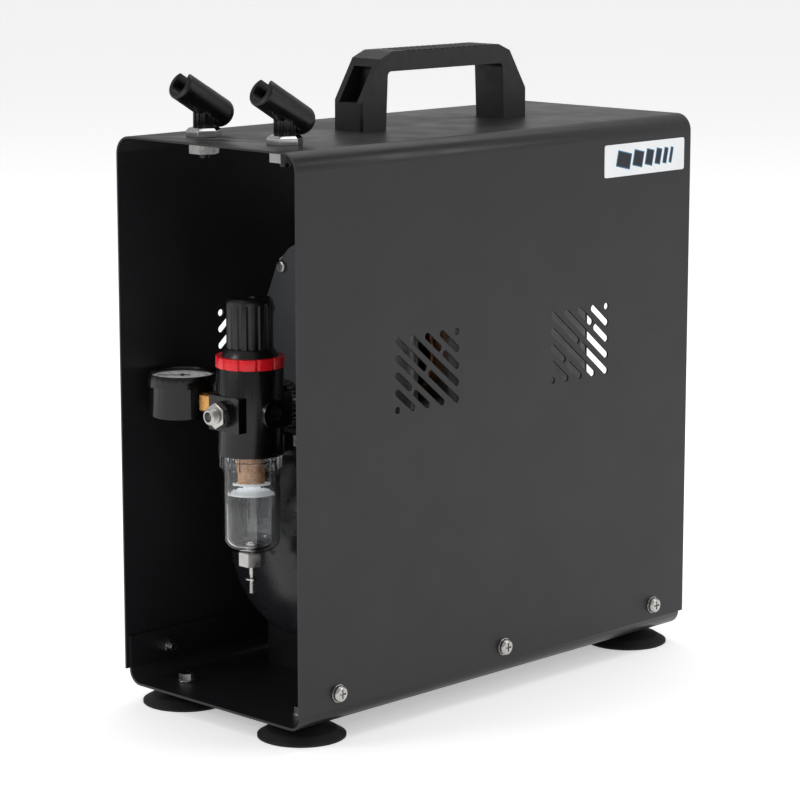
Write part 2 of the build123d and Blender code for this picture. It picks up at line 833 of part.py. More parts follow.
def tank_saddles():
    """Angle brackets with a hollowed upper edge that carries the tank."""
    saddles = []
    barrel = rod_y(tank_r, cover_front_y, cover_rear_y, 0, tank_z)
    for y in (saddle_front_y, saddle_rear_y):
        inward = 1 if y < pump_mid_y else -1
        y_low, y_high = sorted((y, y + inward * saddle_sheet))
        web_top = tank_z - saddle_top_drop
        web = block(-saddle_half_width, saddle_half_width, y_low, y_high, tray_floor_z, web_top) - barrel
        y_low, y_high = sorted((y, y + inward * saddle_foot_length))
        foot_top = tray_floor_z + saddle_sheet
        foot = block(-saddle_half_width, saddle_half_width, y_low, y_high, tray_floor_z, foot_top)
        saddle = web + foot
        for sx in (-1, 1):
            x = sx * saddle_bolt_x
            saddle -= rod_z(hex_thread_r + screw_hole_fit, tray_floor_z - 1, foot_top + 1, x, saddle_bolt_y(y))
        saddles.append(saddle)
    return saddles


def tank_drain_plug():
    head = hex_z(drain_plug_flats, drain_boss_z - drain_plug_head, drain_boss_z, 0, drain_plug_y)
    return head + rod_z(drain_thread_r, drain_boss_z, tank_z - tank_r + 5, 0, drain_plug_y)


def pump_platform():
    w = platform_half_width
    plate = block(-w, w, platform_front_y, platform_rear_y, platform_z, platform_top_z)
    barrel = rod_y(tank_r, cover_front_y, cover_rear_y, 0, tank_z)
    for y in (platform_front_y + platform_rib_front_inset, platform_rear_y - platform_rib_rear_inset):
        w = platform_rib_half_width
        plate += block(-w, w, y, y + saddle_sheet, tank_z, platform_z) - barrel
    for x, y in mount_spots:
        plate -= rod_z(mount_stud_r + screw_hole_fit, platform_z - 1, platform_top_z + 1, x, y)
    return plate


# ---- safety valve ----
valve_z = tank_z + valve_rise
valve_seat_y = tank_surface_y(valve_x, valve_rise)
valve_top_y = valve_seat_y + valve_body_length


def safety_valve():
    body = rod_y(valve_body_r, valve_seat_y - valve_sink, valve_top_y, valve_x, valve_z)
    cap_end = valve_top_y + valve_cap_length
    body += rod_y(valve_cap_r, valve_top_y, cap_end, valve_x, valve_z)
    bore_r = valve_stem_r + running_fit
    return body - rod_y(bore_r, cap_end - valve_stem_bore_depth, cap_end + 1, valve_x, valve_z)


def safety_pull_ring():
    cap_end = valve_top_y + valve_cap_length
    stem = rod_y(valve_stem_r, cap_end - valve_stem_bore_depth + 0.5, cap_end + 2.0, valve_x, valve_z)
    ring = Pos(valve_x, cap_end + 2.0 + ring_r, valve_z) * Torus(ring_r, ring_wire_r)
    return stem + ring


# ---- pump ----
mount_ys = (cylinder_y - 8.0, 2 * pump_mid_y - cylinder_y + 8.0)
mount_spots = [(sx * mount_x, y) for sx in (-1, 1) for y in mount_ys]
crankcase_rear_y = crankcase_front_y + crankcase_length


def pump_mounts():
    mounts = []
    for x, y in mount_spots:
        bush = rod_z(mount_r, platform_top_z, platform_top_z + mount_height, x, y)
        bush += rod_z(mount_stud_r, platform_top_z - mount_stud_length, platform_top_z, x, y)
        mounts.append(bush + rod_z(mount_stud_r, platform_top_z, platform_top_z + mount_height + mount_stud_length, x, y))
    return mounts


def crankcase():
    low = shaft_z - crankcase_bottom_drop
    high = shaft_z + crankcase_top_rise
    w = crankcase_half_width
    case = block(-w, w, crankcase_front_y, crankcase_rear_y, low, high)
    case += block(-stator_half_width, stator_half_width, crankcase_rear_y - flange_length, crankcase_rear_y,
                  shaft_z - stator_half_width, shaft_z + stator_half_width)
    for sx in (-1, 1):
        for sz in (-1, 1):
            x = sx * tie_offset
            case += rod_y(tie_r, crankcase_rear_y, stator_front_y, x, shaft_z + sz * tie_offset)
    case -= rod_y(crank_chamber_r, crankcase_front_y - 1, crankcase_rear_y - crankcase_wall, 0, shaft_z)
    case -= rod_y(bearing_r + thread_fit, crankcase_front_y, crankcase_rear_y + 1, 0, shaft_z)
    case -= rod_z(cylinder_bore_r + 0.5, shaft_z, high + 20, 0, cylinder_y)
    case -= rod_z(cylinder_bore_r + cylinder_wall + thread_fit, cylinder_z, high + 20, 0, cylinder_y)
    for x, z in plate_screw_spots:
        if z < high:
            case -= rod_y(plate_screw_r + thread_fit, crankcase_front_y - 1, crankcase_front_y + 8, x, z)
    for x, y in head_bolt_spots:
        case -= rod_z(head_bolt_r + thread_fit, high - head_bolt_depth, high + 20, x, y)
    for sx in (-1, 1):
        case -= rod_z(mount_stud_r + thread_fit, low - 1, low + mount_stud_length + 0.5, sx * mount_x, mount_ys[0])
    return case


plate_screw_spots = [
    (sx * x, shaft_z + rise)
    for sx in (-1, 1)
    for x, rise in (plate_screw_low, plate_screw_high, plate_screw_head)
]
head_bolt_spots = [(sx * head_bolt_x, cylinder_y + sy * head_bolt_y) for sx in (-1, 1) for sy in (-1, 1)]


def head_outline():
    """Front view of a cylinder head: upright sides, sloped shoulders and a flat top."""
    top = head_top_z
    right = [(head_half_width, head_z), (head_half_width, head_z + head_shoulder_rise), (head_flat_half_width, top)]
    return right + [(-x, z) for x, z in reversed(right)]


def crankcase_plate():
    """Shield-shaped front plate that closes the crankcase and covers the head."""
    low = shaft_z - crankcase_bottom_drop
    high = shaft_z + crankcase_top_rise
    right = [
        (crankcase_half_width - 6, low),
        (crankcase_half_width, low + 6),
        (crankcase_half_width, high),
        (head_half_width, head_z + head_shoulder_rise - 3),
        (head_flat_half_width + 6, head_top_z - 3),
        (head_flat_half_width, head_top_z),
    ]
    outline = right + [(-x, z) for x, z in reversed(right)]
    face = Plane.XZ * make_face(Polyline(*outline, close=True))
    plate = Pos(0, crankcase_front_y, 0) * extrude(face, pump_plate)
    for x, z in plate_screw_spots:
        plate -= rod_y(plate_screw_r + screw_hole_fit, pump_front_y - 1, crankcase_front_y + 1, x, z)
    return plate


def cylinder_sleeve():
    outer = rod_z(cylinder_bore_r + cylinder_wall, cylinder_z, cylinder_top_z, 0, cylinder_y)
    return outer - rod_z(cylinder_bore_r, cylinder_z - 1, cylinder_top_z + 1, 0, cylinder_y)


def head_depth():
    return crankcase_front_y, 2 * cylinder_y - crankcase_front_y


def valve_plate():
    front, rear = head_depth()
    plate = block(-head_half_width, head_half_width, front, rear, cylinder_top_z, head_z)
    for sx in (-1, 1):
        plate -= rod_z(valve_port_r, cylinder_top_z - 1, head_z + 1, sx * valve_port_x, cylinder_y)
    for x, y in head_bolt_spots:
        plate -= rod_z(head_bolt_r + screw_hole_fit, cylinder_top_z - 1, head_z + 1, x, y)
    return plate


def cylinder_head():
    front, rear = head_depth()
    face = Plane.XZ * make_face(Polyline(*head_outline(), close=True))
    head = Pos(0, rear, 0) * extrude(face, rear - front)
    reach = head_chamber_half
    for side in (-1, 1):
        x0, x1 = sorted((side * 2.0, side * (valve_port_x + valve_port_r + 4.0)))
        head -= block(x0, x1, cylinder_y - reach, cylinder_y + reach, head_z - 1, head_z + head_chamber_height)
    head -= rod_y(pipe_r + thread_fit, cylinder_y, rear + 1, valve_port_x, manifold_z)
    for x, y in head_bolt_spots:
        head -= rod_z(head_bolt_r + screw_hole_fit, head_z - 1, head_top_z + 1, x, y)
        head -= rod_z(head_bolt_head_r + 0.4, head_bolt_seat_z, head_top_z + 1, x, y)
    for x, z in plate_screw_spots:
        if z > head_z:
            head -= rod_y(plate_screw_r + thread_fit, front - 1, front + 5, x, z)
    return head


manifold_z = head_z + 6.0
head_bolt_seat_z = head_z + head_shoulder_rise


def head_bolt(x, y):
    low = shaft_z + crankcase_top_rise - head_bolt_depth
    bolt = rod_z(head_bolt_r, low, head_bolt_seat_z, x, y)
    bolt += rod_z(head_bolt_head_r, head_bolt_seat_z, head_bolt_seat_z + head_bolt_head_height, x, y)
    return bolt - hex_z(3.0, head_bolt_seat_z + 1.2, head_bolt_seat_z + head_bolt_head_height + 1, x, y)


def piston(throw):
    """Hollow piston with its wrist pin. throw is the crank pin's height above the shaft at rest."""
    top = cylinder_top_z - piston_clear_top - (crank_throw - throw)
    r = cylinder_bore_r - running_fit
    body = rod_z(r, top - piston_height, top, 0, cylinder_y)
    body -= rod_z(r - piston_skirt_wall, top - piston_height - 1, top - piston_crown, 0, cylinder_y)
    return body + rod_x(wrist_pin_r, -r + 1, r - 1, cylinder_y, top - wrist_pin_drop)


def connecting_rod(throw):
    """Rod with an eye on the crank pin. Its upper end stops short of the wrist pin, the open pivot of the linkage."""
    pin_z = shaft_z + throw
    y0 = cylinder_y - rod_thickness / 2
    y1 = cylinder_y + rod_thickness / 2
    eye_r = crank_pin_r + running_fit + rod_eye_wall
    rod = rod_y(eye_r, y0, y1, 0, pin_z)
    neck_top = pin_z + rod_reach
    rod += block(-rod_half_width * 0.6, rod_half_width * 0.6, y0, y1, pin_z, neck_top - rod_half_width)
    rod += rod_y(rod_half_width, y0, y1, 0, neck_top - rod_half_width)
    return rod - rod_y(crank_pin_r + running_fit, y0 - 1, y1 + 1, 0, pin_z)


def drive_shaft():
    """Motor shaft with an overhung eccentric on each end, half a turn apart."""
    half = crank_pin_length / 2
    rear_cylinder_y = 2 * pump_mid_y - cylinder_y
    shaft = rod_y(shaft_r, cylinder_y + half, rear_cylinder_y - half, 0, shaft_z)
    shaft += rod_y(crank_pin_r, cylinder_y - half, cylinder_y + half, 0, shaft_z + crank_throw)
    return shaft + rod_y(crank_pin_r, rear_cylinder_y - half, rear_cylinder_y + half, 0, shaft_z - crank_throw)


def shaft_bearing():
    y1 = crankcase_rear_y
    ring = rod_y(bearing_r, y1 - bearing_length, y1, 0, shaft_z)
    return ring - rod_y(shaft_r + running_fit, y1 - bearing_length - 1, y1 + 1, 0, shaft_z)


def motor_stator():
    w = stator_half_width
    rear = stator_front_y + stator_length
    core = block(-w, w, stator_front_y, rear, shaft_z - w, shaft_z + w)
    core = fillet(core.edges().filter_by(Axis.Y), stator_corner)
    return core - rod_y(rotor_r + air_gap, stator_front_y - 1, rear + 1, 0, shaft_z)


def winding():
    ring = rod_y(winding_r_out, stator_front_y - winding_length, stator_front_y, 0, shaft_z)
    ring = fillet(ring.faces().sort_by(Axis.Y)[0].edges(), 3.0)
    return ring - rod_y(winding_r_in, stator_front_y - winding_length - 1, stator_front_y + 1, 0, shaft_z)


def rotor_core():
    rear = stator_front_y + stator_length
    return rod_y(rotor_r, stator_front_y, rear, 0, shaft_z) - rod_y(shaft_r, stator_front_y - 1, rear + 1, 0, shaft_z)


def cooling_fan():
    front = crankcase_rear_y + fan_clear
    hub = rod_z(fan_hub_r, 0, fan_length) + rod_z(fan_r, 0, fan_disc)
    for blade in around(fan_blades, block(fan_hub_r - 1, fan_r, -fan_blade_sheet / 2, fan_blade_sheet / 2, 0, fan_length)):
        hub += blade
    hub -= rod_z(shaft_r, -1, fan_length + 1)
    return Pos(0, front, shaft_z) * Rot(-90, 0, 0) * hub


def plate_screws():
    screws = []
    for x, z in plate_screw_spots:
        screws.append(Pos(x, pump_front_y, z) * Rot(90, 0, 0) * plate_screw())
    return screws


# ---- pipes ----
def delivery_pipe():
    _, head_rear = head_depth()
    other_rear = 2 * pump_mid_y - head_rear
    link = rod_y(pipe_r, head_rear - 6, other_rear + 6, valve_port_x, manifold_z)
    link -= rod_y(pipe_r - pipe_wall, head_rear - 7, other_rear + 7, valve_port_x, manifold_z)
    inside_z = tank_surface_z(delivery_x) - 4.0
    route = [(-head_half_width, delivery_y, delivery_pipe_z), (delivery_x, delivery_y, delivery_pipe_z),
             (delivery_x, delivery_y, inside_z)]
    drop = pipe(route, pipe_r, pipe_wall, pipe_bend)
    nut = hex_z(pipe_nut_flats, delivery_boss_top_z, delivery_boss_top_z + pipe_nut_length, delivery_x, delivery_y)
    nut -= rod_z(pipe_r + thread_fit, delivery_boss_top_z - 1, delivery_boss_top_z + 20, delivery_x, delivery_y)
    return [link, drop, nut]


delivery_pipe_z = head_z + 4.5


def regulator_feed():
    start_y = reg_y + reg_boss_reach
    union_end = start_y + union_length
    union = Rot(90, 0, 0) * (Cylinder(union_r, union_length) - Cylinder(pipe_r + thread_fit, union_length + 2))
    knurls = [Rot(90, 0, 0) * knurl for knurl in around(union_knurls, Pos(union_r, 0, 0) * Cylinder(union_knurl_r, union_length + 1))]
    union = Pos(reg_x, (start_y + union_end) / 2, port_z) * (union - knurls)
    nut = hex_y(pipe_nut_flats, union_end, union_end + pipe_nut_length, reg_x, port_z)
    nut -= rod_y(pipe_r + thread_fit, union_end - 1, union_end + 20, reg_x, port_z)
    route = [(reg_x, start_y - port_depth + 1, port_z), (reg_x, feed_y, port_z), (reg_x, feed_y, tank_surface_z(reg_x) - 4.0)]
    tube = pipe(route, pipe_r, pipe_wall, pipe_bend)
    foot_nut = hex_z(pipe_nut_flats, feed_boss_top_z, feed_boss_top_z + pipe_nut_length, reg_x, feed_y)
    foot_nut -= rod_z(pipe_r + thread_fit, feed_boss_top_z - 1, feed_boss_top_z + 20, reg_x, feed_y)
    return [union, nut, tube, foot_nut]


# ---- switch box ----
box_rear_y = cover_rear_y - box_rear_inset
box_front_y = box_rear_y - box_depth
rocker_z = tray_floor_z + rocker_rise
rocker_pin_y = box_rear_y - box_wall / 2
gland_z = tray_floor_z + gland_rise


def switch_box():
    w = box_half_width
    top = tray_floor_z + box_height
    case = block(-w, w, box_front_y, box_rear_y, tray_floor_z, top)
    case = fillet(case.edges().filter_by(Axis.Y), 2.5)
    t = box_wall
    room = block(-w + t, w - t, box_front_y + t, box_rear_y - t, tray_floor_z + t, top - t)
    hw = rocker_half_width + rocker_gap
    hh = rocker_half_height + rocker_gap
    window = block(rocker_x - hw, rocker_x + hw, box_rear_y - 5, box_rear_y + 5, rocker_z - hh, rocker_z + hh)
    hole = rod_y(gland_thread_r + thread_fit, box_rear_y - 5, box_rear_y + 5, gland_x, gland_z)
    reach = rocker_half_width + rocker_pin_reach + rocker_gap
    pivot = rod_x(rocker_pin_r + running_fit, rocker_x - reach, rocker_x + reach, rocker_pin_y, rocker_z)
    return case - room - window - hole - pivot


def rocker_switch():
    """A rocker on a pivot pin in the box's wall. It rests with its upper end out."""
    w = rocker_half_width
    h = rocker_half_height
    back = -rocker_depth / 2
    points = [(back, -h / 2), (rocker_proud, -h), (rocker_proud - rocker_peak, 0), (rocker_proud, h), (back, h / 2)]
    rocker = extrude(Plane.YZ * make_face(Polyline(*points, close=True)), w, both=True)
    rocker += rod_x(rocker_pin_r, -w - rocker_pin_reach, w + rocker_pin_reach)
    return Pos(rocker_x, rocker_pin_y, rocker_z) * Rot(-rocker_tilt, 0, 0) * rocker


def cable_gland():
    y = box_rear_y
    gland = hex_y(gland_flats, y, y + gland_flange, gland_x, gland_z)
    gland += rod_y(gland_nose_r, y + gland_flange, y + gland_flange + gland_nose, gland_x, gland_z)
    gland += rod_y(gland_thread_r, y - box_wall - 2, y, gland_x, gland_z)
    return gland - rod_y(gland_bore_r, y - 10, y + 20, gland_x, gland_z)


# ---- regulator ----
def regulator_body():
    low = reg_body_bottom_z
    high = reg_body_top_z
    body = rod_z(reg_body_r, low, high, reg_x, reg_y)
    hx = reg_boss_half_x
    hz = reg_boss_half_z
    reach = reg_boss_reach
    body += block(reg_x - hx, reg_x + hx, reg_y - reach, reg_y, port_z - hz, port_z + hz)
    body += block(reg_x - hx, reg_x + hx, reg_y, reg_y + reach, port_z - hz, port_z + hz)
    body += rod_x(reg_side_boss_r, reg_x - reach, reg_x + reach, reg_y, port_z)
    body += rod_y(collar_r, reg_y - reach - collar_length, reg_y - reach, reg_x, port_z)
    body -= rod_y(port_r + thread_fit, reg_y - reach - collar_length - 1, reg_y - reach + port_depth, reg_x, port_z)
    body -= rod_y(pipe_r + thread_fit, reg_y + reach - port_depth, reg_y + reach + 1, reg_x, port_z)
    body -= rod_x(port_r + thread_fit, reg_x - reach - 1, reg_x - reach + port_depth, reg_y, port_z)
    body -= rod_x(port_r + thread_fit, reg_x + reach - port_depth, reg_x + reach + 1, reg_y, port_z)
    body -= rod_x(passage_r, reg_x - reach + 4, reg_x + reach - port_depth, reg_y, port_z + 6.5)
    body -= rod_y(passage_r, reg_y - reach + 4, reg_y, reg_x, port_z + 6.5)
    body -= rod_y(passage_r, reg_y, reg_y + reach - port_depth + 2, reg_x, port_z - 3.0)
    body -= rod_z(bowl_neck_r + thread_fit, low - 1, low + bowl_seat_depth, reg_x, reg_y)
    body -= rod_z(poppet_chamber_r, low, port_z - 1, reg_x, reg_y)
    body -= rod_z(poppet_bore_r, low, high, reg_x, reg_y)
    body -= rod_z(chamber_r, high - chamber_depth, high + 1, reg_x, reg_y)
    body -= rod_z(diaphragm_r + thread_fit, high - diaphragm_sheet, high + 1, reg_x, reg_y)
    return body


def lock_ring():
    low = reg_body_top_z
    ring = rod_z(ring_outer_r, low, low + ring_height, reg_x, reg_y)
    ring -= rod_z(bonnet_r + thread_fit, low - 1, low + ring_height + 1, reg_x, reg_y)
    notch = Pos(ring_outer_r + ring_notch_r * 0.3, 0, low + ring_height / 2) * Cylinder(ring_notch_r, ring_height + 2)
    return ring - [Pos(reg_x, reg_y, 0) * piece for piece in around(ring_notches, notch)]


bonnet_cone_z = reg_body_top_z + ring_height
spring_room_top_z = bonnet_top_z - bonnet_top_wall
seat_top_z = spring_room_top_z - adjust_collar_height - seat_drop + seat_height


def bonnet():
    low = reg_body_top_z
    outline = [
        (0, low),
        (bonnet_r, low),
        (bonnet_r, bonnet_cone_z),
        (bonnet_cone_r, bonnet_cone_z + bonnet_cone_height),
        (bonnet_neck_r, bonnet_cone_z + bonnet_cone_height),
        (bonnet_neck_r, bonnet_top_z),
        (0, bonnet_top_z),
    ]
    body = turned(outline, reg_x, reg_y)
    body -= rod_z(spring_room_r, low - 1, spring_room_top_z, reg_x, reg_y)
    reach = seat_ear_reach + seat_fit
    half = seat_ear_half + seat_fit
    body -= block(reg_x - reach, reg_x + reach, reg_y - half, reg_y + half, low - 1, spring_room_top_z)
    return body - rod_z(adjust_thread_r + running_fit, low, bonnet_top_z + 1, reg_x, reg_y)


def adjusting_screw():
    screw = rod_z(adjust_thread_r, spring_room_top_z - adjust_collar_height - adjust_tail, bonnet_top_z, reg_x, reg_y)
    screw += rod_z(adjust_collar_r, spring_room_top_z - adjust_collar_height, spring_room_top_z, reg_x, reg_y)
    return screw + hex_z(adjust_hex_flats, bonnet_top_z, bonnet_top_z + adjust_hex_height, reg_x, reg_y)


def spring_seat():
    low = seat_top_z - seat_height
    seat = rod_z(spring_room_r - seat_fit, low, seat_top_z, reg_x, reg_y)
    seat += block(reg_x - seat_ear_reach, reg_x + seat_ear_reach, reg_y - seat_ear_half, reg_y + seat_ear_half, low, seat_top_z)
    return seat - rod_z(adjust_thread_r + running_fit, low - 1, seat_top_z + 1, reg_x, reg_y)


push_plate_top_z = reg_body_top_z + push_plate_height


def adjusting_spring():
    """Round-wire coil between the push plate and the spring seat."""
    low = push_plate_top_z + spring_wire_r
    high = seat_top_z - seat_height - spring_wire_r
    coil_r = spring_room_r - seat_fit - spring_wire_r - 0.4
    path = Helix((high - low) / spring_turns, high - low, coil_r)
    wire = sweep(Plane(origin=path @ 0, z_dir=path % 0) * Circle(spring_wire_r), path, is_frenet=True)
    return Pos(reg_x, reg_y, low) * wire


def adjust_knob():
    knob = rod_z(knob_r, knob_bottom_z, knob_top_z, reg_x, reg_y)
    knob = chamfer(knob.faces().sort_by(Axis.Z)[-1].edges(), knob_chamfer)
    flute_x = knob_r + knob_flute_r - knob_flute_depth
    flute = rod_z(knob_flute_r, knob_bottom_z - 1, knob_top_z - knob_flute_inset, flute_x)
    knob -= [Pos(reg_x, reg_y, 0) * piece for piece in around(knob_flutes, flute)]
    knob -= rod_z(knob_room_r, knob_bottom_z - 1, knob_room_top_z, reg_x, reg_y)
    hub_top = bonnet_top_z + adjust_hex_height + knob_hub_gap
    knob -= hex_z(adjust_hex_flats + 2 * knob_hub_gap, knob_room_top_z - 1, hub_top, reg_x, reg_y)
    return knob - rod_z(knob_dimple_r, knob_top_z - knob_dimple_depth, knob_top_z + 1, reg_x, reg_y)


def diaphragm():
    sheet = rod_z(diaphragm_r, reg_body_top_z - diaphragm_sheet, reg_body_top_z, reg_x, reg_y)
    return sheet + rod_z(push_plate_r, reg_body_top_z, push_plate_top_z, reg_x, reg_y)


def poppet_valve():
    top = reg_body_top_z - diaphragm_sheet
    seat = port_z - 1
    stem = rod_z(poppet_stem_r, seat - 1, top - 0.05, reg_x, reg_y)
    head = rod_z(poppet_head_r, seat - poppet_head_height, seat - 0.05, reg_x, reg_y)
    return stem + head


def port_plug():
    end = reg_x + reg_boss_reach
    plug = rod_x(port_r, end - port_depth, end - plug_sink, reg_y, port_z)
    socket = Pos(end - plug_sink - plug_recess_depth / 2, reg_y, port_z) * Rot(0, 90, 0)
    return plug - socket * hexagon(plug_recess_flats, plug_recess_depth)


def outlet_nipple():
    face = reg_y - reg_boss_reach - collar_length
    corner_up = Rot(90, 0, 0) * Rot(0, 0, 30)
    nipple = Pos(reg_x, face - nipple_hex / 2, port_z) * corner_up * hexagon(nipple_flats, nipple_hex)
    nipple += rod_y(port_r, face - nipple_hex - nipple_thread, face - nipple_hex, reg_x, port_z)
    nipple += rod_y(port_r, face, face + collar_length + port_depth - 1, reg_x, port_z)
    return nipple - rod_y(nipple_bore_r, face - 20, face + 20, reg_x, port_z)


# ---- gauge ----
gauge_bezel_z = gauge_top_z - gauge_bezel_height
dial_top_z = gauge_top_z - gauge_dial_drop
needle_z = dial_top_z + gauge_needle_gap
lens_z = gauge_top_z - gauge_lens_drop - gauge_lens_sheet


def gauge_case():
    case = rod_z(gauge_case_r, gauge_bottom_z, gauge_bezel_z, gauge_x, reg_y)
    case += rod_z(gauge_bezel_r, gauge_bezel_z, gauge_top_z, gauge_x, reg_y)
    case = fillet(case.faces().sort_by(Axis.Z)[0].edges(), 1.5)
    case -= rod_z(gauge_dial_r, gauge_bottom_z + gauge_wall, gauge_top_z + 1, gauge_x, reg_y)
    case -= rod_z(gauge_dial_r + 0.8, lens_z, gauge_top_z + 1, gauge_x, reg_y)
    return case - rod_x(port_r + thread_fit, gauge_x, gauge_x + gauge_bezel_r + 1, reg_y, port_z)


def gauge_dial():
    dial = rod_z(gauge_dial_r, dial_top_z - gauge_dial_sheet, dial_top_z, gauge_x, reg_y)
    return dial - rod_z(gauge_pin_r + 0.2, dial_top_z - 5, dial_top_z + 1, gauge_x, reg_y)


def gauge_lens():
    return rod_z(gauge_dial_r + 0.8, lens_z, lens_z + gauge_lens_sheet, gauge_x, reg_y)


def gauge_needle():
    """A pointer on its spindle. It rests at the zero of the dial."""
    arm = [(-gauge_needle_tail, -gauge_needle_half), (gauge_needle_reach, -0.25), (gauge_needle_reach, 0.25),
           (-gauge_needle_tail, gauge_needle_half)]
    needle = extrude(make_face(Polyline(*arm, close=True)), gauge_needle_sheet)
    needle += rod_z(gauge_pivot_r, 0, gauge_needle_sheet * 2)
    needle += rod_z(gauge_pin_r, -gauge_needle_gap - 3.0, 0)
    return Pos(gauge_x, reg_y, needle_z) * Rot(0, 0, gauge_zero_turn) * needle


def gauge_stem():
    """Square shank between the regulator and the gauge, with the curved pressure tube on its inner end."""
    inner = gauge_x + gauge_bezel_r
    outer = reg_x - reg_boss_reach
    stem = Pos((inner + outer) / 2, reg_y, port_z) * Box(outer - inner, stem_flats, stem_flats)
    stem = chamfer(stem.edges().filter_by(Axis.X), 1.2)
    stem += rod_x(port_r, outer, outer + port_depth - 1, reg_y, port_z)
    stem += rod_x(port_r, gauge_x + gauge_tube_ring_r - 1, inner, reg_y, port_z)
    stem -= rod_x(gauge_tube_bore_r, gauge_x + gauge_tube_ring_r, outer + port_depth, reg_y, port_z)
    arc = CenterArc((0, 0), gauge_tube_ring_r, 0, gauge_tube_turn)
    section = Plane(origin=arc @ 0, z_dir=arc % 0) * Circle(gauge_tube_r)
    return stem + Pos(gauge_x, reg_y, port_z) * sweep(section, arc)


# ---- filter bowl ----
def filter_bowl():
    """Clear cup with a ribbed collar, a round bottom and a neck that screws up into the body."""
    top = reg_body_bottom_z
    collar_z = top - bowl_collar_height
    room_z = bowl_bottom_z + bowl_wall
    cup = rod_z(bowl_r, bowl_bottom_z, top, reg_x, reg_y)
    cup = fillet(cup.faces().sort_by(Axis.Z)[0].edges(), bowl_bottom_round)
    cup += rod_z(bowl_collar_r, collar_z, top, reg_x, reg_y)
    cup += rod_z(bowl_neck_r, top, top + bowl_seat_depth - 1, reg_x, reg_y)
    rib = block(bowl_collar_r - 1, bowl_collar_r + bowl_lug_proud, -bowl_lug_half, bowl_lug_half, collar_z, top)
    for piece in around(bowl_lugs, rib):
        cup += Pos(reg_x, reg_y, 0) * piece
    room = rod_z(bowl_r - bowl_wall, room_z, top - bowl_shoulder, reg_x, reg_y)
    room = fillet(room.faces().sort_by(Axis.Z)[0].edges(), bowl_bottom_round - bowl_wall)
    cup -= room
    cup -= rod_z(bowl_neck_r - bowl_wall, top - bowl_shoulder - 1, top + bowl_seat_depth, reg_x, reg_y)
    return cup - rod_z(drain_thread_r + thread_fit, bowl_bottom_z - 1, room_z + 1, reg_x, reg_y)


def filter_element():
    tube = rod_z(filter_r, filter_bottom_z, reg_body_bottom_z, reg_x, reg_y)
    return tube - rod_z(filter_bore_r, filter_bottom_z - 1, reg_body_bottom_z + 1, reg_x, reg_y)


def filter_baffle():
    """Spindle that holds the element, with its washer and the umbrella that keeps water down."""
    top = reg_body_bottom_z + bowl_seat_depth
    spindle = rod_z(spindle_r, umbrella_z, reg_body_bottom_z + 3.0, reg_x, reg_y)
    spindle += rod_z(filter_r, reg_body_bottom_z, reg_body_bottom_z + 3.0, reg_x, reg_y)
    spindle += rod_z(poppet_chamber_r - 0.02, reg_body_bottom_z + 3.0, top + 3.0, reg_x, reg_y)
    washer = rod_z(washer_r, filter_bottom_z - washer_sheet, filter_bottom_z, reg_x, reg_y)
    top_z = umbrella_z + umbrella_height
    umbrella = turned([(0, umbrella_z + 2), (umbrella_r - 1.2, umbrella_z), (umbrella_r, umbrella_z),
                       (umbrella_r, umbrella_z + 0.8), (umbrella_r - 3.6, umbrella_z + 3.2),
                       (umbrella_r - 8.0, top_z - 0.4), (0, top_z)], reg_x, reg_y)
    return spindle + washer + umbrella


drain_top_z = bowl_bottom_z - drain_gap


def drain_valve():
    low = drain_top_z - drain_height
    body = hex_z(drain_flats, low, drain_top_z, reg_x, reg_y)
    body += rod_z(drain_thread_r + 1.6, drain_top_z, bowl_bottom_z, reg_x, reg_y)
    body += rod_z(drain_thread_r, bowl_bottom_z, bowl_bottom_z + bowl_wall + 1.5, reg_x, reg_y)
    return body - rod_z(drain_pin_r + running_fit, low - 1, bowl_bottom_z + 20, reg_x, reg_y)


def drain_pin():
    seal_z = bowl_bottom_z + bowl_wall + 1.5
    pin = rod_z(drain_pin_r, drain_pin_bottom_z, seal_z, reg_x, reg_y)
    pin += rod_z(drain_flange_r, drain_flange_z, drain_flange_z + drain_flange_height, reg_x, reg_y)
    return pin + rod_z(drain_seal_r, seal_z, seal_z + drain_seal_height, reg_x, reg_y)


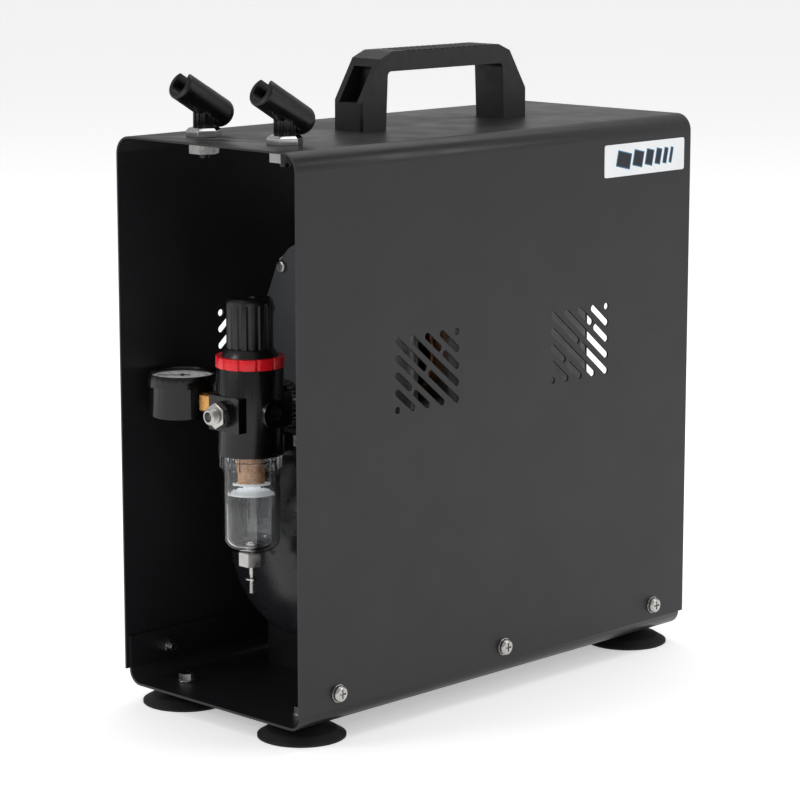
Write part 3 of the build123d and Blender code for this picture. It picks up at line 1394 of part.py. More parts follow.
# ---- write every node ----
def main():
    os.makedirs("parts", exist_ok=True)
    save("cover_shell", cover_shell())
    save("base_tray", base_tray())
    save("pan_screws", *pan_screws())
    save("cover_nuts", *cover_nuts())
    save("label_plate", label_plate())
    save("suction_feet", *[suction_foot(x, y) for x, y in foot_spots])
    save("hex_bolts", *hex_bolts())
    save("carry_handle", carry_handle())
    save("holder_bushes", holder_bush(-1), holder_bush(1))
    save("holder_nuts", holder_nut(-1), holder_nut(1))
    save("holder_left", airbrush_holder(-1))
    save("holder_right", airbrush_holder(1))
    save("air_tank", air_tank())
    save("tank_saddles", *tank_saddles())
    save("tank_drain_plug", tank_drain_plug())
    save("pump_platform", pump_platform())
    save("safety_valve", safety_valve())
    save("safety_pull_ring", safety_pull_ring())
    save("pump_mounts", *pump_mounts())
    save("crankcases", *both_ends(crankcase()))
    save("crankcase_plates", *both_ends(crankcase_plate()))
    save("pump_screws", *both_ends(*plate_screws(), *[head_bolt(x, y) for x, y in head_bolt_spots]))
    save("cylinder_sleeves", *both_ends(cylinder_sleeve()))
    save("cylinder_heads", *both_ends(cylinder_head(), valve_plate()))
    save("piston_front", piston(crank_throw))
    save("piston_rear", mirrored_pump(piston(-crank_throw)))
    save("rod_front", connecting_rod(crank_throw))
    save("rod_rear", mirrored_pump(connecting_rod(-crank_throw)))
    save("drive_shaft", drive_shaft())
    save("shaft_bearings", *both_ends(shaft_bearing()))
    save("motor_stator", motor_stator())
    save("motor_windings", *both_ends(winding()))
    save("rotor_core", rotor_core())
    save("cooling_fans", *both_ends(cooling_fan()))
    save("delivery_pipe", *delivery_pipe())
    save("regulator_feed", *regulator_feed())
    save("switch_box", switch_box())
    save("rocker_switch", rocker_switch())
    save("cable_gland", cable_gland())
    save("regulator_body", regulator_body())
    save("lock_ring", lock_ring())
    save("regulator_bonnet", bonnet())
    save("adjusting_screw", adjusting_screw())
    save("spring_seat", spring_seat())
    save("adjusting_spring", adjusting_spring())
    save("adjust_knob", adjust_knob())
    save("diaphragm", diaphragm())
    save("poppet_valve", poppet_valve())
    save("port_plug", port_plug())
    save("outlet_nipple", outlet_nipple())
    save("gauge_case", gauge_case())
    save("gauge_dial", gauge_dial())
    save("gauge_lens", gauge_lens())
    save("gauge_needle", gauge_needle())
    save("gauge_stem", gauge_stem())
    save("filter_bowl", filter_bowl())
    save("filter_element", filter_element())
    save("filter_baffle", filter_baffle())
    save("drain_valve", drain_valve())
    save("drain_pin", drain_pin())


main()
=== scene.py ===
from math import cos, pi, radians, sin

import bpy
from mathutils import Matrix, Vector


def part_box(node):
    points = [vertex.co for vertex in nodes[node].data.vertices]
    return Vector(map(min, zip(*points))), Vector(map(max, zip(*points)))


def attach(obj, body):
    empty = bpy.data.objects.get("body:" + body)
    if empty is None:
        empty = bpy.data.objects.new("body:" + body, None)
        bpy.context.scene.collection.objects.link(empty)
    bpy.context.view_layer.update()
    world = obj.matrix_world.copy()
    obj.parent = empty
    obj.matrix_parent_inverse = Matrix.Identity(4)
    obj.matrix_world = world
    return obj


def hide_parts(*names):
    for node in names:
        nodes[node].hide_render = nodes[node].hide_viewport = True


bl_info = {
    "name": "Airbrush compressor",
    "version": (1, 0, 0),
    "blender": (4, 5, 0),
    "location": "3D View > Sidebar > Compressor",
    "description": "Finishes and small pieces of a sheet-housed airbrush compressor",
    "category": "Object",
}

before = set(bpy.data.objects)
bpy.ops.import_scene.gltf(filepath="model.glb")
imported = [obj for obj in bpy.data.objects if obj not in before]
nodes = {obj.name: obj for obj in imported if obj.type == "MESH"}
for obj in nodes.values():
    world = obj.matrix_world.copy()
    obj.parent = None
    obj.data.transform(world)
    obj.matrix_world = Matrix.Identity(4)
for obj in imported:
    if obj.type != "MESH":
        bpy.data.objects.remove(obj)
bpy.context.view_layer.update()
MM = 0.001
TURN = 2 * pi


# ---------------------------------------------------------------- settings
class CompressorColours(bpy.types.PropertyGroup):
    housing: bpy.props.FloatVectorProperty(
        name="Housing", description="Powder coat of the cover", subtype="COLOR", size=3,
        default=(0.0125, 0.0123, 0.0142))
    handle: bpy.props.FloatVectorProperty(
        name="Handle", description="Moulded handle", subtype="COLOR", size=3, default=(0.007, 0.007, 0.0076))
    holder: bpy.props.FloatVectorProperty(
        name="Holders", description="Moulded airbrush holders", subtype="COLOR", size=3,
        default=(0.003, 0.003, 0.0034))
    regulator: bpy.props.FloatVectorProperty(
        name="Regulator", description="Enamel of the regulator", subtype="COLOR", size=3,
        default=(0.0018, 0.0018, 0.002))
    ring: bpy.props.FloatVectorProperty(
        name="Lock ring", description="Red ring under the knob", subtype="COLOR", size=3,
        default=(0.72, 0.010, 0.018))
    element: bpy.props.FloatVectorProperty(
        name="Filter", description="Sintered filter element", subtype="COLOR", size=3, default=(0.78, 0.42, 0.22))
    label: bpy.props.FloatVectorProperty(
        name="Label", description="Label film", subtype="COLOR", size=3, default=(0.85, 0.87, 0.88))
    mark: bpy.props.FloatVectorProperty(
        name="Label mark", description="Ink of the label", subtype="COLOR", size=3, default=(0.02, 0.16, 0.30))


class CompressorSizes(bpy.types.PropertyGroup):
    sheet_edge: bpy.props.FloatProperty(
        name="Sheet edge", description="Rounding of cut sheet edges", unit="LENGTH", default=0.25 * MM)
    moulded_edge: bpy.props.FloatProperty(
        name="Moulded edge", description="Rounding of moulded edges", unit="LENGTH", default=0.6 * MM)
    machined_edge: bpy.props.FloatProperty(
        name="Machined edge", description="Rounding of turned and milled edges", unit="LENGTH", default=0.3 * MM)


def colours():
    return bpy.context.scene.compressor_colours


def sizes():
    return bpy.context.scene.compressor_sizes


# ---------------------------------------------------------------- finishes
class Finish:
    """A material being built: its node tree, its shader and the object coordinates it reads."""

    def __init__(self, name, colour, roughness, metallic=0.0, **sockets):
        self.material = bpy.data.materials.new(name)
        self.material.use_nodes = True
        self.tree = self.material.node_tree
        self.shader = self.tree.nodes["Principled BSDF"]
        self.shader.inputs["Base Color"].default_value = (*colour, 1.0)
        self.shader.inputs["Roughness"].default_value = roughness
        self.shader.inputs["Metallic"].default_value = metallic
        self.shader.inputs["Specular IOR Level"].default_value = 0.36
        for socket, value in sockets.items():
            self.shader.inputs[socket.replace("_", " ")].default_value = value
        self.place = self.node("ShaderNodeTexCoord").outputs["Object"]
        self.colour = colour
        self.height = None

    def node(self, kind, **settings):
        made = self.tree.nodes.new(kind)
        for key, value in settings.items():
            setattr(made, key, value)
        return made

    def link(self, source, target):
        self.tree.links.new(source, target)

    def stretched(self, scale):
        mapping = self.node("ShaderNodeMapping")
        self.link(self.place, mapping.inputs["Vector"])
        mapping.inputs["Scale"].default_value = scale
        return mapping.outputs["Vector"]

    def noise(self, scale, detail=4.0, rough=0.5, stretch=None):
        made = self.node("ShaderNodeTexNoise")
        made.inputs["Scale"].default_value = scale
        made.inputs["Detail"].default_value = detail
        made.inputs["Roughness"].default_value = rough
        self.link(self.stretched(stretch) if stretch else self.place, made.inputs["Vector"])
        return made.outputs["Fac"]

    def cells(self, scale):
        made = self.node("ShaderNodeTexVoronoi")
        made.inputs["Scale"].default_value = scale
        self.link(self.place, made.inputs["Vector"])
        return made.outputs["Distance"]

    def between(self, fac, low, high):
        made = self.node("ShaderNodeMapRange")
        self.link(fac, made.inputs["Value"])
        made.inputs["From Min"].default_value = 0.3
        made.inputs["From Max"].default_value = 0.7
        made.inputs["To Min"].default_value = low
        made.inputs["To Max"].default_value = high
        return made.outputs["Result"]

    def vary_roughness(self, fac, low, high):
        self.link(self.between(fac, low, high), self.shader.inputs["Roughness"])

    def vary_colour(self, fac, low, high):
        """The base colour goes from low to high times itself."""
        mix = self.node("ShaderNodeMix", data_type="RGBA")
        self.link(self.between(fac, 0.0, 1.0), mix.inputs["Factor"])
        mix.inputs["A"].default_value = (*(c * low for c in self.colour), 1.0)
        mix.inputs["B"].default_value = (*(min(1.0, c * high) for c in self.colour), 1.0)
        self.link(mix.outputs["Result"], self.shader.inputs["Base Color"])

    def raise_by(self, fac, depth, strength=1.0):
        bump = self.node("ShaderNodeBump")
        bump.inputs["Distance"].default_value = depth
        bump.inputs["Strength"].default_value = strength
        self.link(fac, bump.inputs["Height"])
        if self.height:
            self.link(self.height, bump.inputs["Normal"])
        self.height = bump.outputs["Normal"]
        self.link(self.height, self.shader.inputs["Normal"])

    def done(self):
        return self.material


def powder_coat(name, colour, roughness=0.42):
    """Baked powder: a fine orange peel with a faint cloudiness in its gloss."""
    finish = Finish(name, colour, roughness)
    finish.raise_by(finish.noise(900.0, 2.0), 0.05 * MM, 0.35)
    finish.vary_roughness(finish.noise(45.0, 5.0), roughness - 0.05, roughness + 0.06)
    finish.vary_colour(finish.noise(14.0, 6.0), 0.93, 1.07)
    return finish.done()


def grained_plastic(name, colour, roughness=0.5, grain=1500.0, depth=0.06):
    """Moulded plastic with a spark-eroded grain and slightly polished high spots."""
    finish = Finish(name, colour, roughness)
    finish.raise_by(finish.noise(grain, 3.0, 0.6), depth * MM, 0.6)
    finish.vary_roughness(finish.noise(160.0, 4.0), roughness - 0.07, roughness + 0.08)
    finish.vary_colour(finish.noise(60.0, 5.0), 0.88, 1.12)
    return finish.done()


def enamel(name, colour, roughness=0.24):
    """Smooth stoved enamel over a casting, with a soft waviness."""
    finish = Finish(name, colour, roughness)
    finish.raise_by(finish.noise(140.0, 2.0), 0.08 * MM, 0.3)
    finish.raise_by(finish.noise(1200.0, 2.0), 0.02 * MM, 0.3)
    finish.vary_roughness(finish.noise(70.0, 4.0), roughness - 0.04, roughness + 0.08)
    finish.vary_colour(finish.noise(30.0, 4.0), 0.9, 1.1)
    return finish.done()


def plated(name, colour, roughness, stretch=(1.0, 1.0, 9.0), depth=0.02):
    """Plated steel with fine turning marks."""
    finish = Finish(name, colour, roughness, 1.0)
    finish.raise_by(finish.noise(500.0, 3.0, 0.5, stretch), depth * MM, 0.4)
    finish.vary_roughness(finish.noise(220.0, 5.0), roughness * 0.7, roughness * 1.4)
    finish.vary_colour(finish.noise(120.0, 4.0), 0.88, 1.05)
    return finish.done()


def cast_metal(name, colour, roughness=0.5):
    """Die-cast aluminium: pitted, slightly dull skin."""
    finish = Finish(name, colour, roughness, 0.9)
    finish.raise_by(finish.cells(700.0), 0.08 * MM, 0.5)
    finish.vary_roughness(finish.noise(90.0, 5.0), roughness - 0.1, roughness + 0.12)
    finish.vary_colour(finish.noise(50.0, 6.0), 0.78, 1.06)
    return finish.done()


def laminations(name, colour):
    """Stacked stator sheets: thin lines across the shaft."""
    finish = Finish(name, colour, 0.45, 0.85)
    wave = finish.node("ShaderNodeTexWave", bands_direction="Y")
    wave.inputs["Scale"].default_value = 320.0
    finish.link(finish.place, wave.inputs["Vector"])
    finish.raise_by(wave.outputs["Fac"], 0.1 * MM, 0.6)
    finish.vary_colour(wave.outputs["Fac"], 0.7, 1.05)
    finish.vary_roughness(finish.noise(80.0), 0.35, 0.6)
    return finish.done()


def copper_winding(name, colour):
    finish = Finish(name, colour, 0.3, 1.0)
    wave = finish.node("ShaderNodeTexWave", wave_type="RINGS", rings_direction="Y")
    wave.inputs["Scale"].default_value = 260.0
    wave.inputs["Distortion"].default_value = 3.0
    finish.link(finish.place, wave.inputs["Vector"])
    finish.raise_by(wave.outputs["Fac"], 0.3 * MM, 0.8)
    finish.vary_colour(wave.outputs["Fac"], 0.55, 1.1)
    return finish.done()


def soft_rubber(name, colour, roughness=0.55):
    """Moulded rubber with a dusty bloom."""
    finish = Finish(name, colour, roughness)
    finish.raise_by(finish.noise(700.0, 3.0), 0.05 * MM, 0.5)
    finish.vary_roughness(finish.noise(60.0, 5.0), roughness - 0.12, roughness + 0.15)
    finish.vary_colour(finish.noise(90.0, 6.0), 0.75, 1.5)
    return finish.done()


def glossy_plastic(name, colour, roughness=0.22):
    finish = Finish(name, colour, roughness)
    finish.raise_by(finish.noise(240.0, 2.0), 0.04 * MM, 0.3)
    finish.vary_roughness(finish.noise(90.0, 4.0), roughness - 0.04, roughness + 0.08)
    finish.vary_colour(finish.noise(120.0, 3.0), 0.93, 1.07)
    return finish.done()


def clear_plastic(name, colour, roughness=0.03, ior=1.49):
    """Clear moulded polycarbonate or glass, with faint flow marks."""
    finish = Finish(name, colour, roughness, 0.0, Transmission_Weight=1.0, IOR=ior)
    finish.raise_by(finish.noise(55.0, 2.0, 0.4, (1.0, 1.0, 0.25)), 0.25 * MM, 0.15)
    finish.vary_roughness(finish.noise(80.0), roughness * 0.5, roughness * 1.8)
    return finish.done()


def sintered(name, colour):
    """Pressed bronze-coloured grains."""
    finish = Finish(name, colour, 0.75)
    finish.raise_by(finish.cells(1500.0), 0.25 * MM, 0.9)
    finish.vary_colour(finish.cells(1500.0), 0.72, 1.15)
    finish.vary_roughness(finish.noise(300.0), 0.6, 0.85)
    return finish.done()


def printed_film(name, colour, roughness=0.35, glow=0.0):
    """Ink or paint on a flat face; the glow stands for the light that a clear cover lets through."""
    finish = Finish(name, colour, roughness, Emission_Color=(*colour, 1.0), Emission_Strength=glow)
    finish.raise_by(finish.noise(300.0, 2.0), 0.02 * MM, 0.3)
    finish.vary_colour(finish.noise(40.0, 3.0), 0.97, 1.03)
    finish.vary_roughness(finish.noise(60.0), roughness - 0.05, roughness + 0.06)
    return finish.done()


def paint_nodes(material, *names):
    """Puts one finish on whole CAD nodes."""
    for name in names:
        mesh = nodes[name].data
        mesh.materials.clear()
        mesh.materials.append(material)


def round_edges(width, *names, angle=35.0, segments=2):
    """Breaks the sharp edges of CAD nodes with live modifiers, so their meshes stay as they are."""
    for name in names:
        part = nodes[name]
        weld = part.modifiers.new("joined", "WELD")
        weld.merge_threshold = 0.002 * MM
        flat = part.modifiers.new("flat faces", "DECIMATE")
        flat.decimate_type = "DISSOLVE"
        flat.angle_limit = radians(0.5)
        edge = part.modifiers.new("broken edge", "BEVEL")
        edge.width = width
        edge.segments = segments
        edge.limit_method = "ANGLE"
        edge.angle_limit = radians(angle)
        edge.harden_normals = True
        edge.use_clamp_overlap = True


# ---------------------------------------------------------------- modelling tools
def deselect():
    if bpy.context.object and bpy.context.object.mode != "OBJECT":
        bpy.ops.object.mode_set(mode="OBJECT")
    bpy.ops.object.select_all(action="DESELECT")


def only(piece):
    """Makes one object the selected and active one."""
    deselect()
    piece.select_set(True)
    bpy.context.view_layer.objects.active = piece


def edit(piece, kind="FACE"):
    only(piece)
    bpy.ops.object.mode_set(mode="EDIT")
    bpy.ops.mesh.select_mode(type=kind)
    bpy.ops.mesh.select_all(action="DESELECT")


def settle(piece):
    """Leaves edit mode and puts the piece's place into its mesh."""
    only(piece)
    bpy.ops.object.transform_apply(location=True, rotation=True, scale=True)


def apply_modifiers(piece):
    only(piece)
    for modifier in list(piece.modifiers):
        bpy.ops.object.modifier_apply(modifier=modifier.name)


def bevel(piece, width, segments=2, angle=35.0):
    edge = piece.modifiers.new("edge", "BEVEL")
    edge.width = width
    edge.segments = segments
    edge.limit_method = "ANGLE"
    edge.angle_limit = radians(angle)
    edge.use_clamp_overlap = True
    apply_modifiers(piece)


def smooth(piece, angle=35.0):
    only(piece)
    bpy.ops.object.shade_smooth_by_angle(angle=radians(angle))


def mend_normals(piece):
    edit(piece)
    bpy.ops.mesh.select_all(action="SELECT")
    bpy.ops.mesh.remove_doubles(threshold=0.001 * MM)
    bpy.ops.mesh.normals_make_consistent(inside=False)
    bpy.ops.object.mode_set(mode="OBJECT")


def cylinder(name, radius, low, high, at, sides=64):
    """A round bar about the Z axis through a point, from one height to another."""
    deselect()
    bpy.ops.mesh.primitive_cylinder_add(
        vertices=sides, radius=radius, depth=high - low, location=(at[0], at[1], (low + high) / 2))
    bpy.context.object.name = name
    return bpy.context.object


def turned(name, outline, hollow=False, steps=48):
    """Turns a (radius, height) outline about the Z axis by extruding a ring along it."""
    (radius, height), *rest = outline
    deselect()
    bpy.ops.mesh.primitive_circle_add(
        vertices=steps, radius=radius, location=(0.0, 0.0, height), fill_type="NOTHING" if hollow else "NGON")
    piece = bpy.context.object
    piece.name = name
    settle(piece)
    edit(piece, "EDGE" if hollow else "FACE")
    bpy.ops.mesh.select_all(action="SELECT")
    extrude = bpy.ops.mesh.extrude_edges_move if hollow else bpy.ops.mesh.extrude_region_move
    for next_radius, next_height in rest + ([outline[0]] if hollow else []):
        extrude(TRANSFORM_OT_translate={"value": (0.0, 0.0, next_height - height)})
        grow = next_radius / radius
        bpy.ops.transform.resize(value=(grow, grow, 1.0), center_override=(0.0, 0.0, 0.0))
        radius, height = next_radius, next_height
    bpy.ops.object.mode_set(mode="OBJECT")
    mend_normals(piece)
    return piece


def flat_bar(name, length, width, thickness, corner):
    """A thin bar lying flat at the origin, with its upright corners rounded."""
    deselect()
    bpy.ops.mesh.primitive_cube_add(size=1.0)
    bar = bpy.context.object
    bar.name = name
    bar.scale = (length, width, thickness)
    settle(bar)
    edit(bar, "EDGE")
    bpy.ops.object.mode_set(mode="OBJECT")
    points = bar.data.vertices
    for side in bar.data.edges:
        span = points[side.vertices[0]].co - points[side.vertices[1]].co
        side.select = abs(span.z) > thickness / 2 and span.xy.length < corner
    bpy.ops.object.mode_set(mode="EDIT")
    bpy.ops.mesh.bevel(offset=corner, segments=3, affect="EDGES")
    bpy.ops.object.mode_set(mode="OBJECT")
    return bar


def place(piece, location, turn=(0.0, 0.0, 0.0)):
    """Moves a piece that was made at the origin to where it belongs."""
    piece.location = location
    piece.rotation_euler = turn
    settle(piece)
    return piece


def copied(piece):
    only(piece)
    bpy.ops.object.duplicate(linked=False)
    return bpy.context.object


def join(name, *pieces):
    deselect()
    for piece in pieces:
        piece.select_set(True)
    bpy.context.view_layer.objects.active = pieces[0]
    bpy.ops.object.join()
    bpy.context.object.name = name
    return bpy.context.object


def finished(piece, material, slot, body, *stands_for):
    piece.data.materials.clear()
    piece.data.materials.append(material)
    piece.data.name = piece.name
    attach(piece, body)
    if stands_for:
        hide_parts(*stands_for)
    return piece


def flat_text(name, words, height, middle_at, proud, material, slot, body):
    """Raised lettering, made a mesh before it is placed."""
    deselect()
    bpy.ops.object.text_add()
    piece = bpy.context.object
    piece.name = name
    piece.data.body = words
    piece.data.align_x = "CENTER"
    piece.data.align_y = "CENTER"
    piece.data.size = height
    piece.data.extrude = proud
    piece.data.resolution_u = 3
    bpy.ops.object.convert(target="MESH")
    place(piece, middle_at)
    return finished(piece, material, slot, body)


# ---------------------------------------------------------------- operators
class COMPRESSOR_OT_housing(bpy.types.Operator):
    """Coats the sheet metal, the tank and the handle"""
    bl_idname = "compressor.housing"
    bl_label = "Housing finishes"

    def execute(self, context):
        chosen = colours()
        paint_nodes(powder_coat("housing paint", chosen.housing, 0.36), "cover_shell")
        paint_nodes(powder_coat("tray paint", chosen.housing, 0.34), "base_tray")
        paint_nodes(grained_plastic("handle plastic", chosen.handle, 0.46), "carry_handle")
        holder = grained_plastic("holder plastic", chosen.holder, 0.28, 900.0, 0.03)
        paint_nodes(holder, "holder_left", "holder_right")
        paint_nodes(enamel("tank enamel", chosen.housing, 0.24), "air_tank", "tank_saddles", "pump_platform")
        paint_nodes(soft_rubber("foot rubber", (0.008, 0.008, 0.0085), 0.7), "suction_feet")
        paint_nodes(soft_rubber("mount rubber", (0.018, 0.018, 0.018)), "pump_mounts")
        paint_nodes(plated("bright nickel screw", (0.50, 0.49, 0.47), 0.24), "pan_screws")
        paint_nodes(plated("zinc fastener", (0.36, 0.355, 0.345), 0.28), "cover_nuts", "hex_bolts", "holder_nuts")
        paint_nodes(plated("chrome bush", (0.55, 0.55, 0.56), 0.12), "holder_bushes")
        paint_nodes(plated("brass plug", (0.66, 0.45, 0.18), 0.25), "tank_drain_plug", "safety_valve")
        paint_nodes(plated("ring steel", (0.6, 0.6, 0.6), 0.25), "safety_pull_ring")
        paint_nodes(printed_film("label film", chosen.label), "label_plate")
        round_edges(sizes().sheet_edge, "cover_shell", "base_tray")
        round_edges(sizes().moulded_edge, "carry_handle", "holder_left", "holder_right")
        round_edges(sizes().machined_edge, "holder_bushes", "holder_nuts", "hex_bolts", "cover_nuts", "pan_screws",
                    "tank_drain_plug", "safety_valve")
        return {"FINISHED"}


class COMPRESSOR_OT_pump(bpy.types.Operator):
    """Gives the pump, the motor and the switch box their finishes"""
    bl_idname = "compressor.pump"
    bl_label = "Pump and motor finishes"

    def execute(self, context):
        aluminium = (0.50, 0.50, 0.51)
        paint_nodes(cast_metal("crankcase casting", aluminium), "crankcases", "cylinder_heads")
        paint_nodes(plated("cylinder sleeve", (0.58, 0.58, 0.58), 0.3), "cylinder_sleeves")
        paint_nodes(powder_coat("end plate paint", (0.055, 0.058, 0.062), 0.4), "crankcase_plates")
        paint_nodes(plated("dull zinc", (0.45, 0.45, 0.46), 0.32), "pump_screws")
        paint_nodes(laminations("stator laminations", (0.4, 0.4, 0.41)), "motor_stator")
        paint_nodes(laminations("rotor laminations", (0.46, 0.46, 0.47)), "rotor_core")
        paint_nodes(copper_winding("motor copper", (0.72, 0.33, 0.14)), "motor_windings")
        paint_nodes(grained_plastic("fan plastic", (0.03, 0.03, 0.03)), "cooling_fans")
        steel = plated("ground steel", (0.62, 0.62, 0.63), 0.22)
        paint_nodes(steel, "drive_shaft", "shaft_bearings", "rod_front", "rod_rear", "drain_pin", "adjusting_screw",
                    "spring_seat")
        paint_nodes(plated("piston metal", (0.6, 0.6, 0.61), 0.3), "piston_front", "piston_rear")
        paint_nodes(plated("drawn tube", (0.62, 0.6, 0.58), 0.28, (9.0, 9.0, 1.0)), "delivery_pipe")
        paint_nodes(plated("blackened union", (0.10, 0.095, 0.10), 0.3), "regulator_feed")
        paint_nodes(grained_plastic("box plastic", (0.022, 0.022, 0.023)), "switch_box", "cable_gland")
        paint_nodes(glossy_plastic("rocker plastic", (0.55, 0.02, 0.02)), "rocker_switch")
        round_edges(sizes().moulded_edge, "switch_box", "cable_gland", "rocker_switch", "cylinder_heads", "crankcases")
        round_edges(sizes().machined_edge, "regulator_feed", "pump_screws", "crankcase_plates")
        return {"FINISHED"}


class COMPRESSOR_OT_regulator(bpy.types.Operator):
    """Gives the regulator, the gauge and the water trap their finishes"""
    bl_idname = "compressor.regulator"
    bl_label = "Regulator finishes"

    def execute(self, context):
        chosen = colours()
        paint_nodes(enamel("regulator enamel", chosen.regulator), "regulator_body")
        paint_nodes(glossy_plastic("bonnet plastic", (0.006, 0.006, 0.0066), 0.3), "regulator_bonnet", "adjust_knob")
        paint_nodes(glossy_plastic("red ring", chosen.ring, 0.2), "lock_ring")
        paint_nodes(glossy_plastic("plug plastic", (0.01, 0.01, 0.012), 0.16), "port_plug")
        paint_nodes(plated("nickel", (0.42, 0.41, 0.39), 0.2), "drain_valve")
        paint_nodes(plated("spring steel", (0.5, 0.5, 0.5), 0.3), "adjusting_spring")
        paint_nodes(soft_rubber("diaphragm rubber", (0.03, 0.03, 0.03)), "diaphragm", "poppet_valve")
        paint_nodes(plated("brass stem", (0.70, 0.36, 0.12), 0.28), "gauge_stem")
        paint_nodes(glossy_plastic("gauge case", (0.003, 0.003, 0.0034), 0.16), "gauge_case")
        # The dial face is given an emission of 0.55: a painted glow standing for the light that the clear lens lets
        # through.
        paint_nodes(printed_film("dial face painted glow", (0.86, 0.86, 0.85), 0.35, 0.55), "gauge_dial")
        paint_nodes(glossy_plastic("needle black", (0.012, 0.012, 0.012)), "gauge_needle")
        paint_nodes(clear_plastic("gauge lens", (1.0, 1.0, 1.0)), "gauge_lens")
        paint_nodes(clear_plastic("bowl plastic", (0.97, 0.985, 0.99), 0.02), "filter_bowl")
        paint_nodes(sintered("filter element", chosen.element), "filter_element")
        # The baffle is given an emission of 0.22: a painted glow that brightens it inside the clear bowl.
        paint_nodes(printed_film("white plastic painted glow", (0.80, 0.82, 0.84), 0.35, 0.22), "filter_baffle")
        round_edges(sizes().moulded_edge, "regulator_body", "regulator_bonnet", "adjust_knob", "lock_ring",
                    "port_plug")
        round_edges(sizes().machined_edge, "outlet_nipple", "drain_valve", "gauge_case", "gauge_stem", "filter_bowl")
        return {"FINISHED"}


class COMPRESSOR_OT_dial(bpy.types.Operator):
    """Prints the gauge dial: scale marks and figures"""
    bl_idname = "compressor.dial"
    bl_label = "Gauge dial"

    def execute(self, context):
        ink = printed_film("dial ink", (0.012, 0.012, 0.014))
        low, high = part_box("gauge_dial")
        centre = Vector(((low.x + high.x) / 2, (low.y + high.y) / 2, high.z))
        radius = (high.x - low.x) / 2
        first_angle, sweep, divisions, highest = 225.0, 270.0, 50, 10
        for figure in range(0, highest + 1, 2):
            angle = radians(first_angle - sweep / highest * figure)
            spot = centre + Vector((cos(angle), sin(angle), 0.0)) * radius * 0.55
            flat_text("dial_figure_%d" % figure, str(figure), 3.4 * MM, spot, 0.02 * MM, ink, "needle_black",
                      "housing")
        thin, corner, scale_r = 0.04 * MM, 0.05 * MM, radius * 0.88
        long_mark, short_mark = 0.16 * radius, 0.09 * radius
        patterns = {
            True: (flat_bar("long_mark", long_mark, 0.035 * radius, thin, corner), long_mark),
            False: (flat_bar("short_mark", short_mark, 0.02 * radius, thin, corner), short_mark),
        }
        marks = []
        for step in range(divisions + 1):
            angle = radians(first_angle - sweep / divisions * step)
            pattern, length = patterns[step % 5 == 0]
            out = centre + Vector((cos(angle), sin(angle), 0.0)) * (scale_r - length / 2)
            marks.append(place(copied(pattern), out, (0.0, 0.0, angle)))
        for pattern, length in patterns.values():
            only(pattern)
            bpy.ops.object.delete()
        scale = join("dial_scale", *marks)
        finished(scale, ink, "needle_black", "housing")
        return {"FINISHED"}


class COMPRESSOR_OT_outlet(bpy.types.Operator):
    """Turns the air outlet: a chamfered hexagon and a threaded nozzle with an open mouth"""
    bl_idname = "compressor.outlet"
    bl_label = "Threaded outlet"

    def execute(self, context):
        low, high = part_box("outlet_nipple")
        x, z = (low.x + high.x) / 2, (low.z + high.z) / 2
        thread_r, bore_r, hexagon_r = 4.86 * MM, 3.1 * MM, 8.05 * MM
        nozzle, hexagon_length, shank, end_land = 5.5 * MM, 4.0 * MM, 3.0 * MM, 0.4 * MM
        root, thread_depth, mouth = 0.87, 0.12, 0.80
        hexagon = cylinder("nipple_hexagon", hexagon_r, nozzle, nozzle + hexagon_length, (0.0, 0.0), 6)
        settle(hexagon)
        bevel(hexagon, 0.5 * MM)
        outline = [(bore_r, 0.0), (thread_r * mouth, 0.0)]
        turns, crests = 6, (0.0, 0.55, 1.0, 0.55)
        pitch = (nozzle - 2 * end_land) / turns
        for turn in range(turns):
            for part, crest in enumerate(crests):
                along = end_land + (turn + part / len(crests)) * pitch
                outline.append((thread_r * (root + thread_depth * crest), along))
        back = nozzle + hexagon_length + shank
        outline += [(thread_r * root, nozzle - end_land), (thread_r * root, back), (bore_r, back)]
        nipple = join("threaded_outlet", turned("nozzle", outline, hollow=True), hexagon)
        place(nipple, (x, low.y, z), (-pi / 2, 0.0, 0.0))
        smooth(nipple, 30.0)
        finished(nipple, plated("worn nickel", (0.50, 0.49, 0.47), 0.3), "nickel", "housing", "outlet_nipple")
        return {"FINISHED"}


class COMPRESSOR_OT_drain(bpy.types.Operator):
    """Turns the water drain's barbed push pin"""
    bl_idname = "compressor.drain"
    bl_label = "Drain pin"

    def execute(self, context):
        low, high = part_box("drain_pin")
        x, y = (low.x + high.x) / 2, (low.y + high.y) / 2
        stem, barb, flange, head = 1.35 * MM, 1.68 * MM, 3.9 * MM, 2.9 * MM
        tip = low.z
        outline = [(stem * 0.8, tip), (barb * 0.9, tip + 0.4 * MM)]
        rings, ring_pitch = 4, 1.75 * MM
        for ring in range(rings):
            base = tip + 0.6 * MM + ring_pitch * ring
            outline += [(barb, base), (barb, base + 0.5 * MM), (stem, base + 1.1 * MM), (stem, base + 1.5 * MM)]
        flange_z = tip + 8.6 * MM
        outline += [(stem, flange_z), (flange, flange_z + 0.2 * MM), (flange, flange_z + 1.0 * MM),
                    (stem, flange_z + 1.2 * MM), (stem, flange_z + 3.0 * MM), (barb, flange_z + 3.2 * MM),
                    (barb, high.z - 1.6 * MM), (head, high.z - 1.5 * MM), (head, high.z - 0.4 * MM),
                    (head - 0.7 * MM, high.z)]
        pin = turned("drain_push_pin", outline, steps=32)
        place(pin, (x, y, 0.0))
        smooth(pin, 35.0)
        finished(pin, plated("pin nickel", (0.5, 0.49, 0.47), 0.28), "nickel", "drain_pin", "drain_pin")
        return {"FINISHED"}


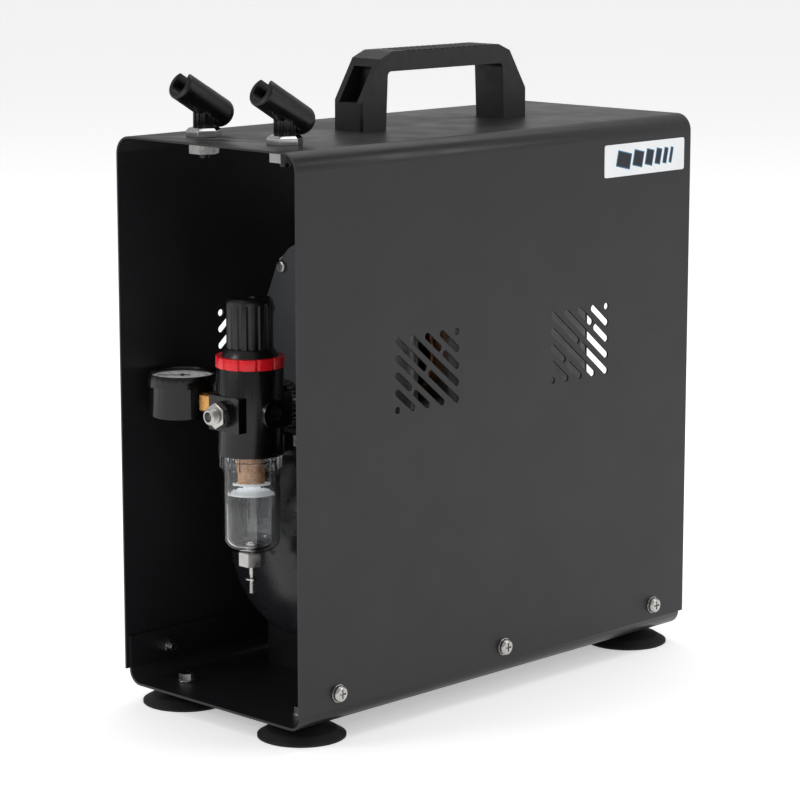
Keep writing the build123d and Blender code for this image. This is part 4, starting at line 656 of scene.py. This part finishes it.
class COMPRESSOR_OT_label(bpy.types.Operator):
    """Prints a plain mark on the label: a row of slanted bars with a coloured edge"""
    bl_idname = "compressor.label"
    bl_label = "Label mark"

    def execute(self, context):
        low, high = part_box("label_plate")
        width, height = high.y - low.y, high.z - low.z
        centre = Vector((high.x, (low.y + high.y) / 2, (low.z + high.z) / 2))
        widths = (0.16, 0.11, 0.08, 0.055, 0.035, 0.02)
        gap, tall, lean = 0.045, 0.44, -0.22
        row = sum(widths) + gap * (len(widths) - 1)
        for name, proud, edge, ink in (
            ("label_edge", 0.015 * MM, 0.7 * MM, printed_film("label edge ink", colours().mark)),
            ("label_face", 0.04 * MM, 0.0, printed_film("label face ink", (0.006, 0.008, 0.014))),
        ):
            bars, along = [], -row / 2
            for bar_width in widths:
                bar = flat_bar(name, bar_width * width + 2 * edge, tall * height + 2 * edge, 2 * proud, 0.4 * MM)
                bars.append(place(bar, ((along + bar_width / 2) * width, 0.0, 0.0), (0.0, 0.0, lean)))
                along += bar_width + gap
            mark = place(join(name, *bars), centre, (pi / 2, 0.0, pi / 2))
            finished(mark, ink, "label_white", "housing")
        return {"FINISHED"}


class COMPRESSOR_OT_stage(bpy.types.Operator):
    """Lays the floor, hangs the lights and sets up the camera"""
    bl_idname = "compressor.stage"
    bl_label = "Stage"

    def execute(self, context):
        deselect()
        bpy.context.scene.view_settings.view_transform = "Standard"
        floor_size, floor_glow, room_light = 14.0, 0.42, 0.5
        bpy.ops.mesh.primitive_plane_add(size=floor_size, location=(0.0, 0.0, 0.0))
        floor = bpy.context.object
        floor.name = "floor"
        paper = Finish("floor paper", (0.93, 0.93, 0.94), 0.75)
        paper.vary_roughness(paper.noise(3.0), 0.7, 0.8)
        paper.shader.inputs["Emission Color"].default_value = (1.0, 1.0, 1.0, 1.0)
        paper.shader.inputs["Emission Strength"].default_value = floor_glow
        floor.data.materials.append(paper.done())
        world = bpy.data.worlds.new("studio")
        world.use_nodes = True
        world.node_tree.nodes["Background"].inputs["Color"].default_value = (1.0, 1.0, 1.0, 1.0)
        seen = world.node_tree.nodes.new("ShaderNodeLightPath").outputs["Is Camera Ray"]
        glow = world.node_tree.nodes.new("ShaderNodeMapRange")
        glow.inputs["To Min"].default_value = room_light
        glow.inputs["To Max"].default_value = 1.0
        world.node_tree.links.new(seen, glow.inputs["Value"])
        world.node_tree.links.new(glow.outputs["Result"], world.node_tree.nodes["Background"].inputs["Strength"])
        bpy.context.scene.world = world
        view_middle = Vector((0.0, 0.0, 0.19))
        for name, spot, size, power in (
            ("key softbox", (-0.9, -2.2, 1.3), 0.7, 14.0),
            ("side softbox", (2.4, 1.6, 1.3), 1.2, 14.0),
            ("top softbox", (-0.3, 0.6, 2.4), 2.4, 26.0),
        ):
            deselect()
            bpy.ops.object.light_add(type="AREA", location=spot)
            lamp = bpy.context.object
            lamp.name = name
            lamp.data.size = size
            lamp.data.energy = power
            aim = view_middle - Vector(spot)
            lamp.rotation_euler = aim.to_track_quat("-Z", "Y").to_euler()
        deselect()
        bpy.ops.object.camera_add(
            location=(1.2751, -1.3108, 0.5205), rotation=(radians(79.345), 0.0, radians(44.425)))
        camera = bpy.context.object
        camera.name = "camera"
        camera.data.lens = 132.5
        camera.data.sensor_width = 36.0
        bpy.context.scene.camera = camera
        return {"FINISHED"}


class COMPRESSOR_PT_panel(bpy.types.Panel):
    """Lists the compressor's sizes, colours and making steps"""
    bl_idname = "COMPRESSOR_PT_panel"
    bl_label = "Airbrush compressor"
    bl_space_type = "VIEW_3D"
    bl_region_type = "UI"
    bl_category = "Compressor"

    def draw(self, context):
        for group in (context.scene.compressor_colours, context.scene.compressor_sizes):
            for key in group.__annotations__:
                self.layout.prop(group, key)
        for step in steps:
            self.layout.operator(step.bl_idname)


steps = (
    COMPRESSOR_OT_stage,
    COMPRESSOR_OT_housing,
    COMPRESSOR_OT_pump,
    COMPRESSOR_OT_regulator,
    COMPRESSOR_OT_dial,
    COMPRESSOR_OT_outlet,
    COMPRESSOR_OT_drain,
    COMPRESSOR_OT_label,
)
classes = (CompressorColours, CompressorSizes, *steps, COMPRESSOR_PT_panel)


def register():
    for each in classes:
        bpy.utils.register_class(each)
    bpy.types.Scene.compressor_colours = bpy.props.PointerProperty(type=CompressorColours)
    bpy.types.Scene.compressor_sizes = bpy.props.PointerProperty(type=CompressorSizes)


def unregister():
    del bpy.types.Scene.compressor_sizes
    del bpy.types.Scene.compressor_colours
    for each in reversed(classes):
        bpy.utils.unregister_class(each)


def main():
    register()
    for step in steps:
        group, name = step.bl_idname.split(".")
        getattr(getattr(bpy.ops, group), name)()
    deselect()


if __name__ == "__main__":
    main()
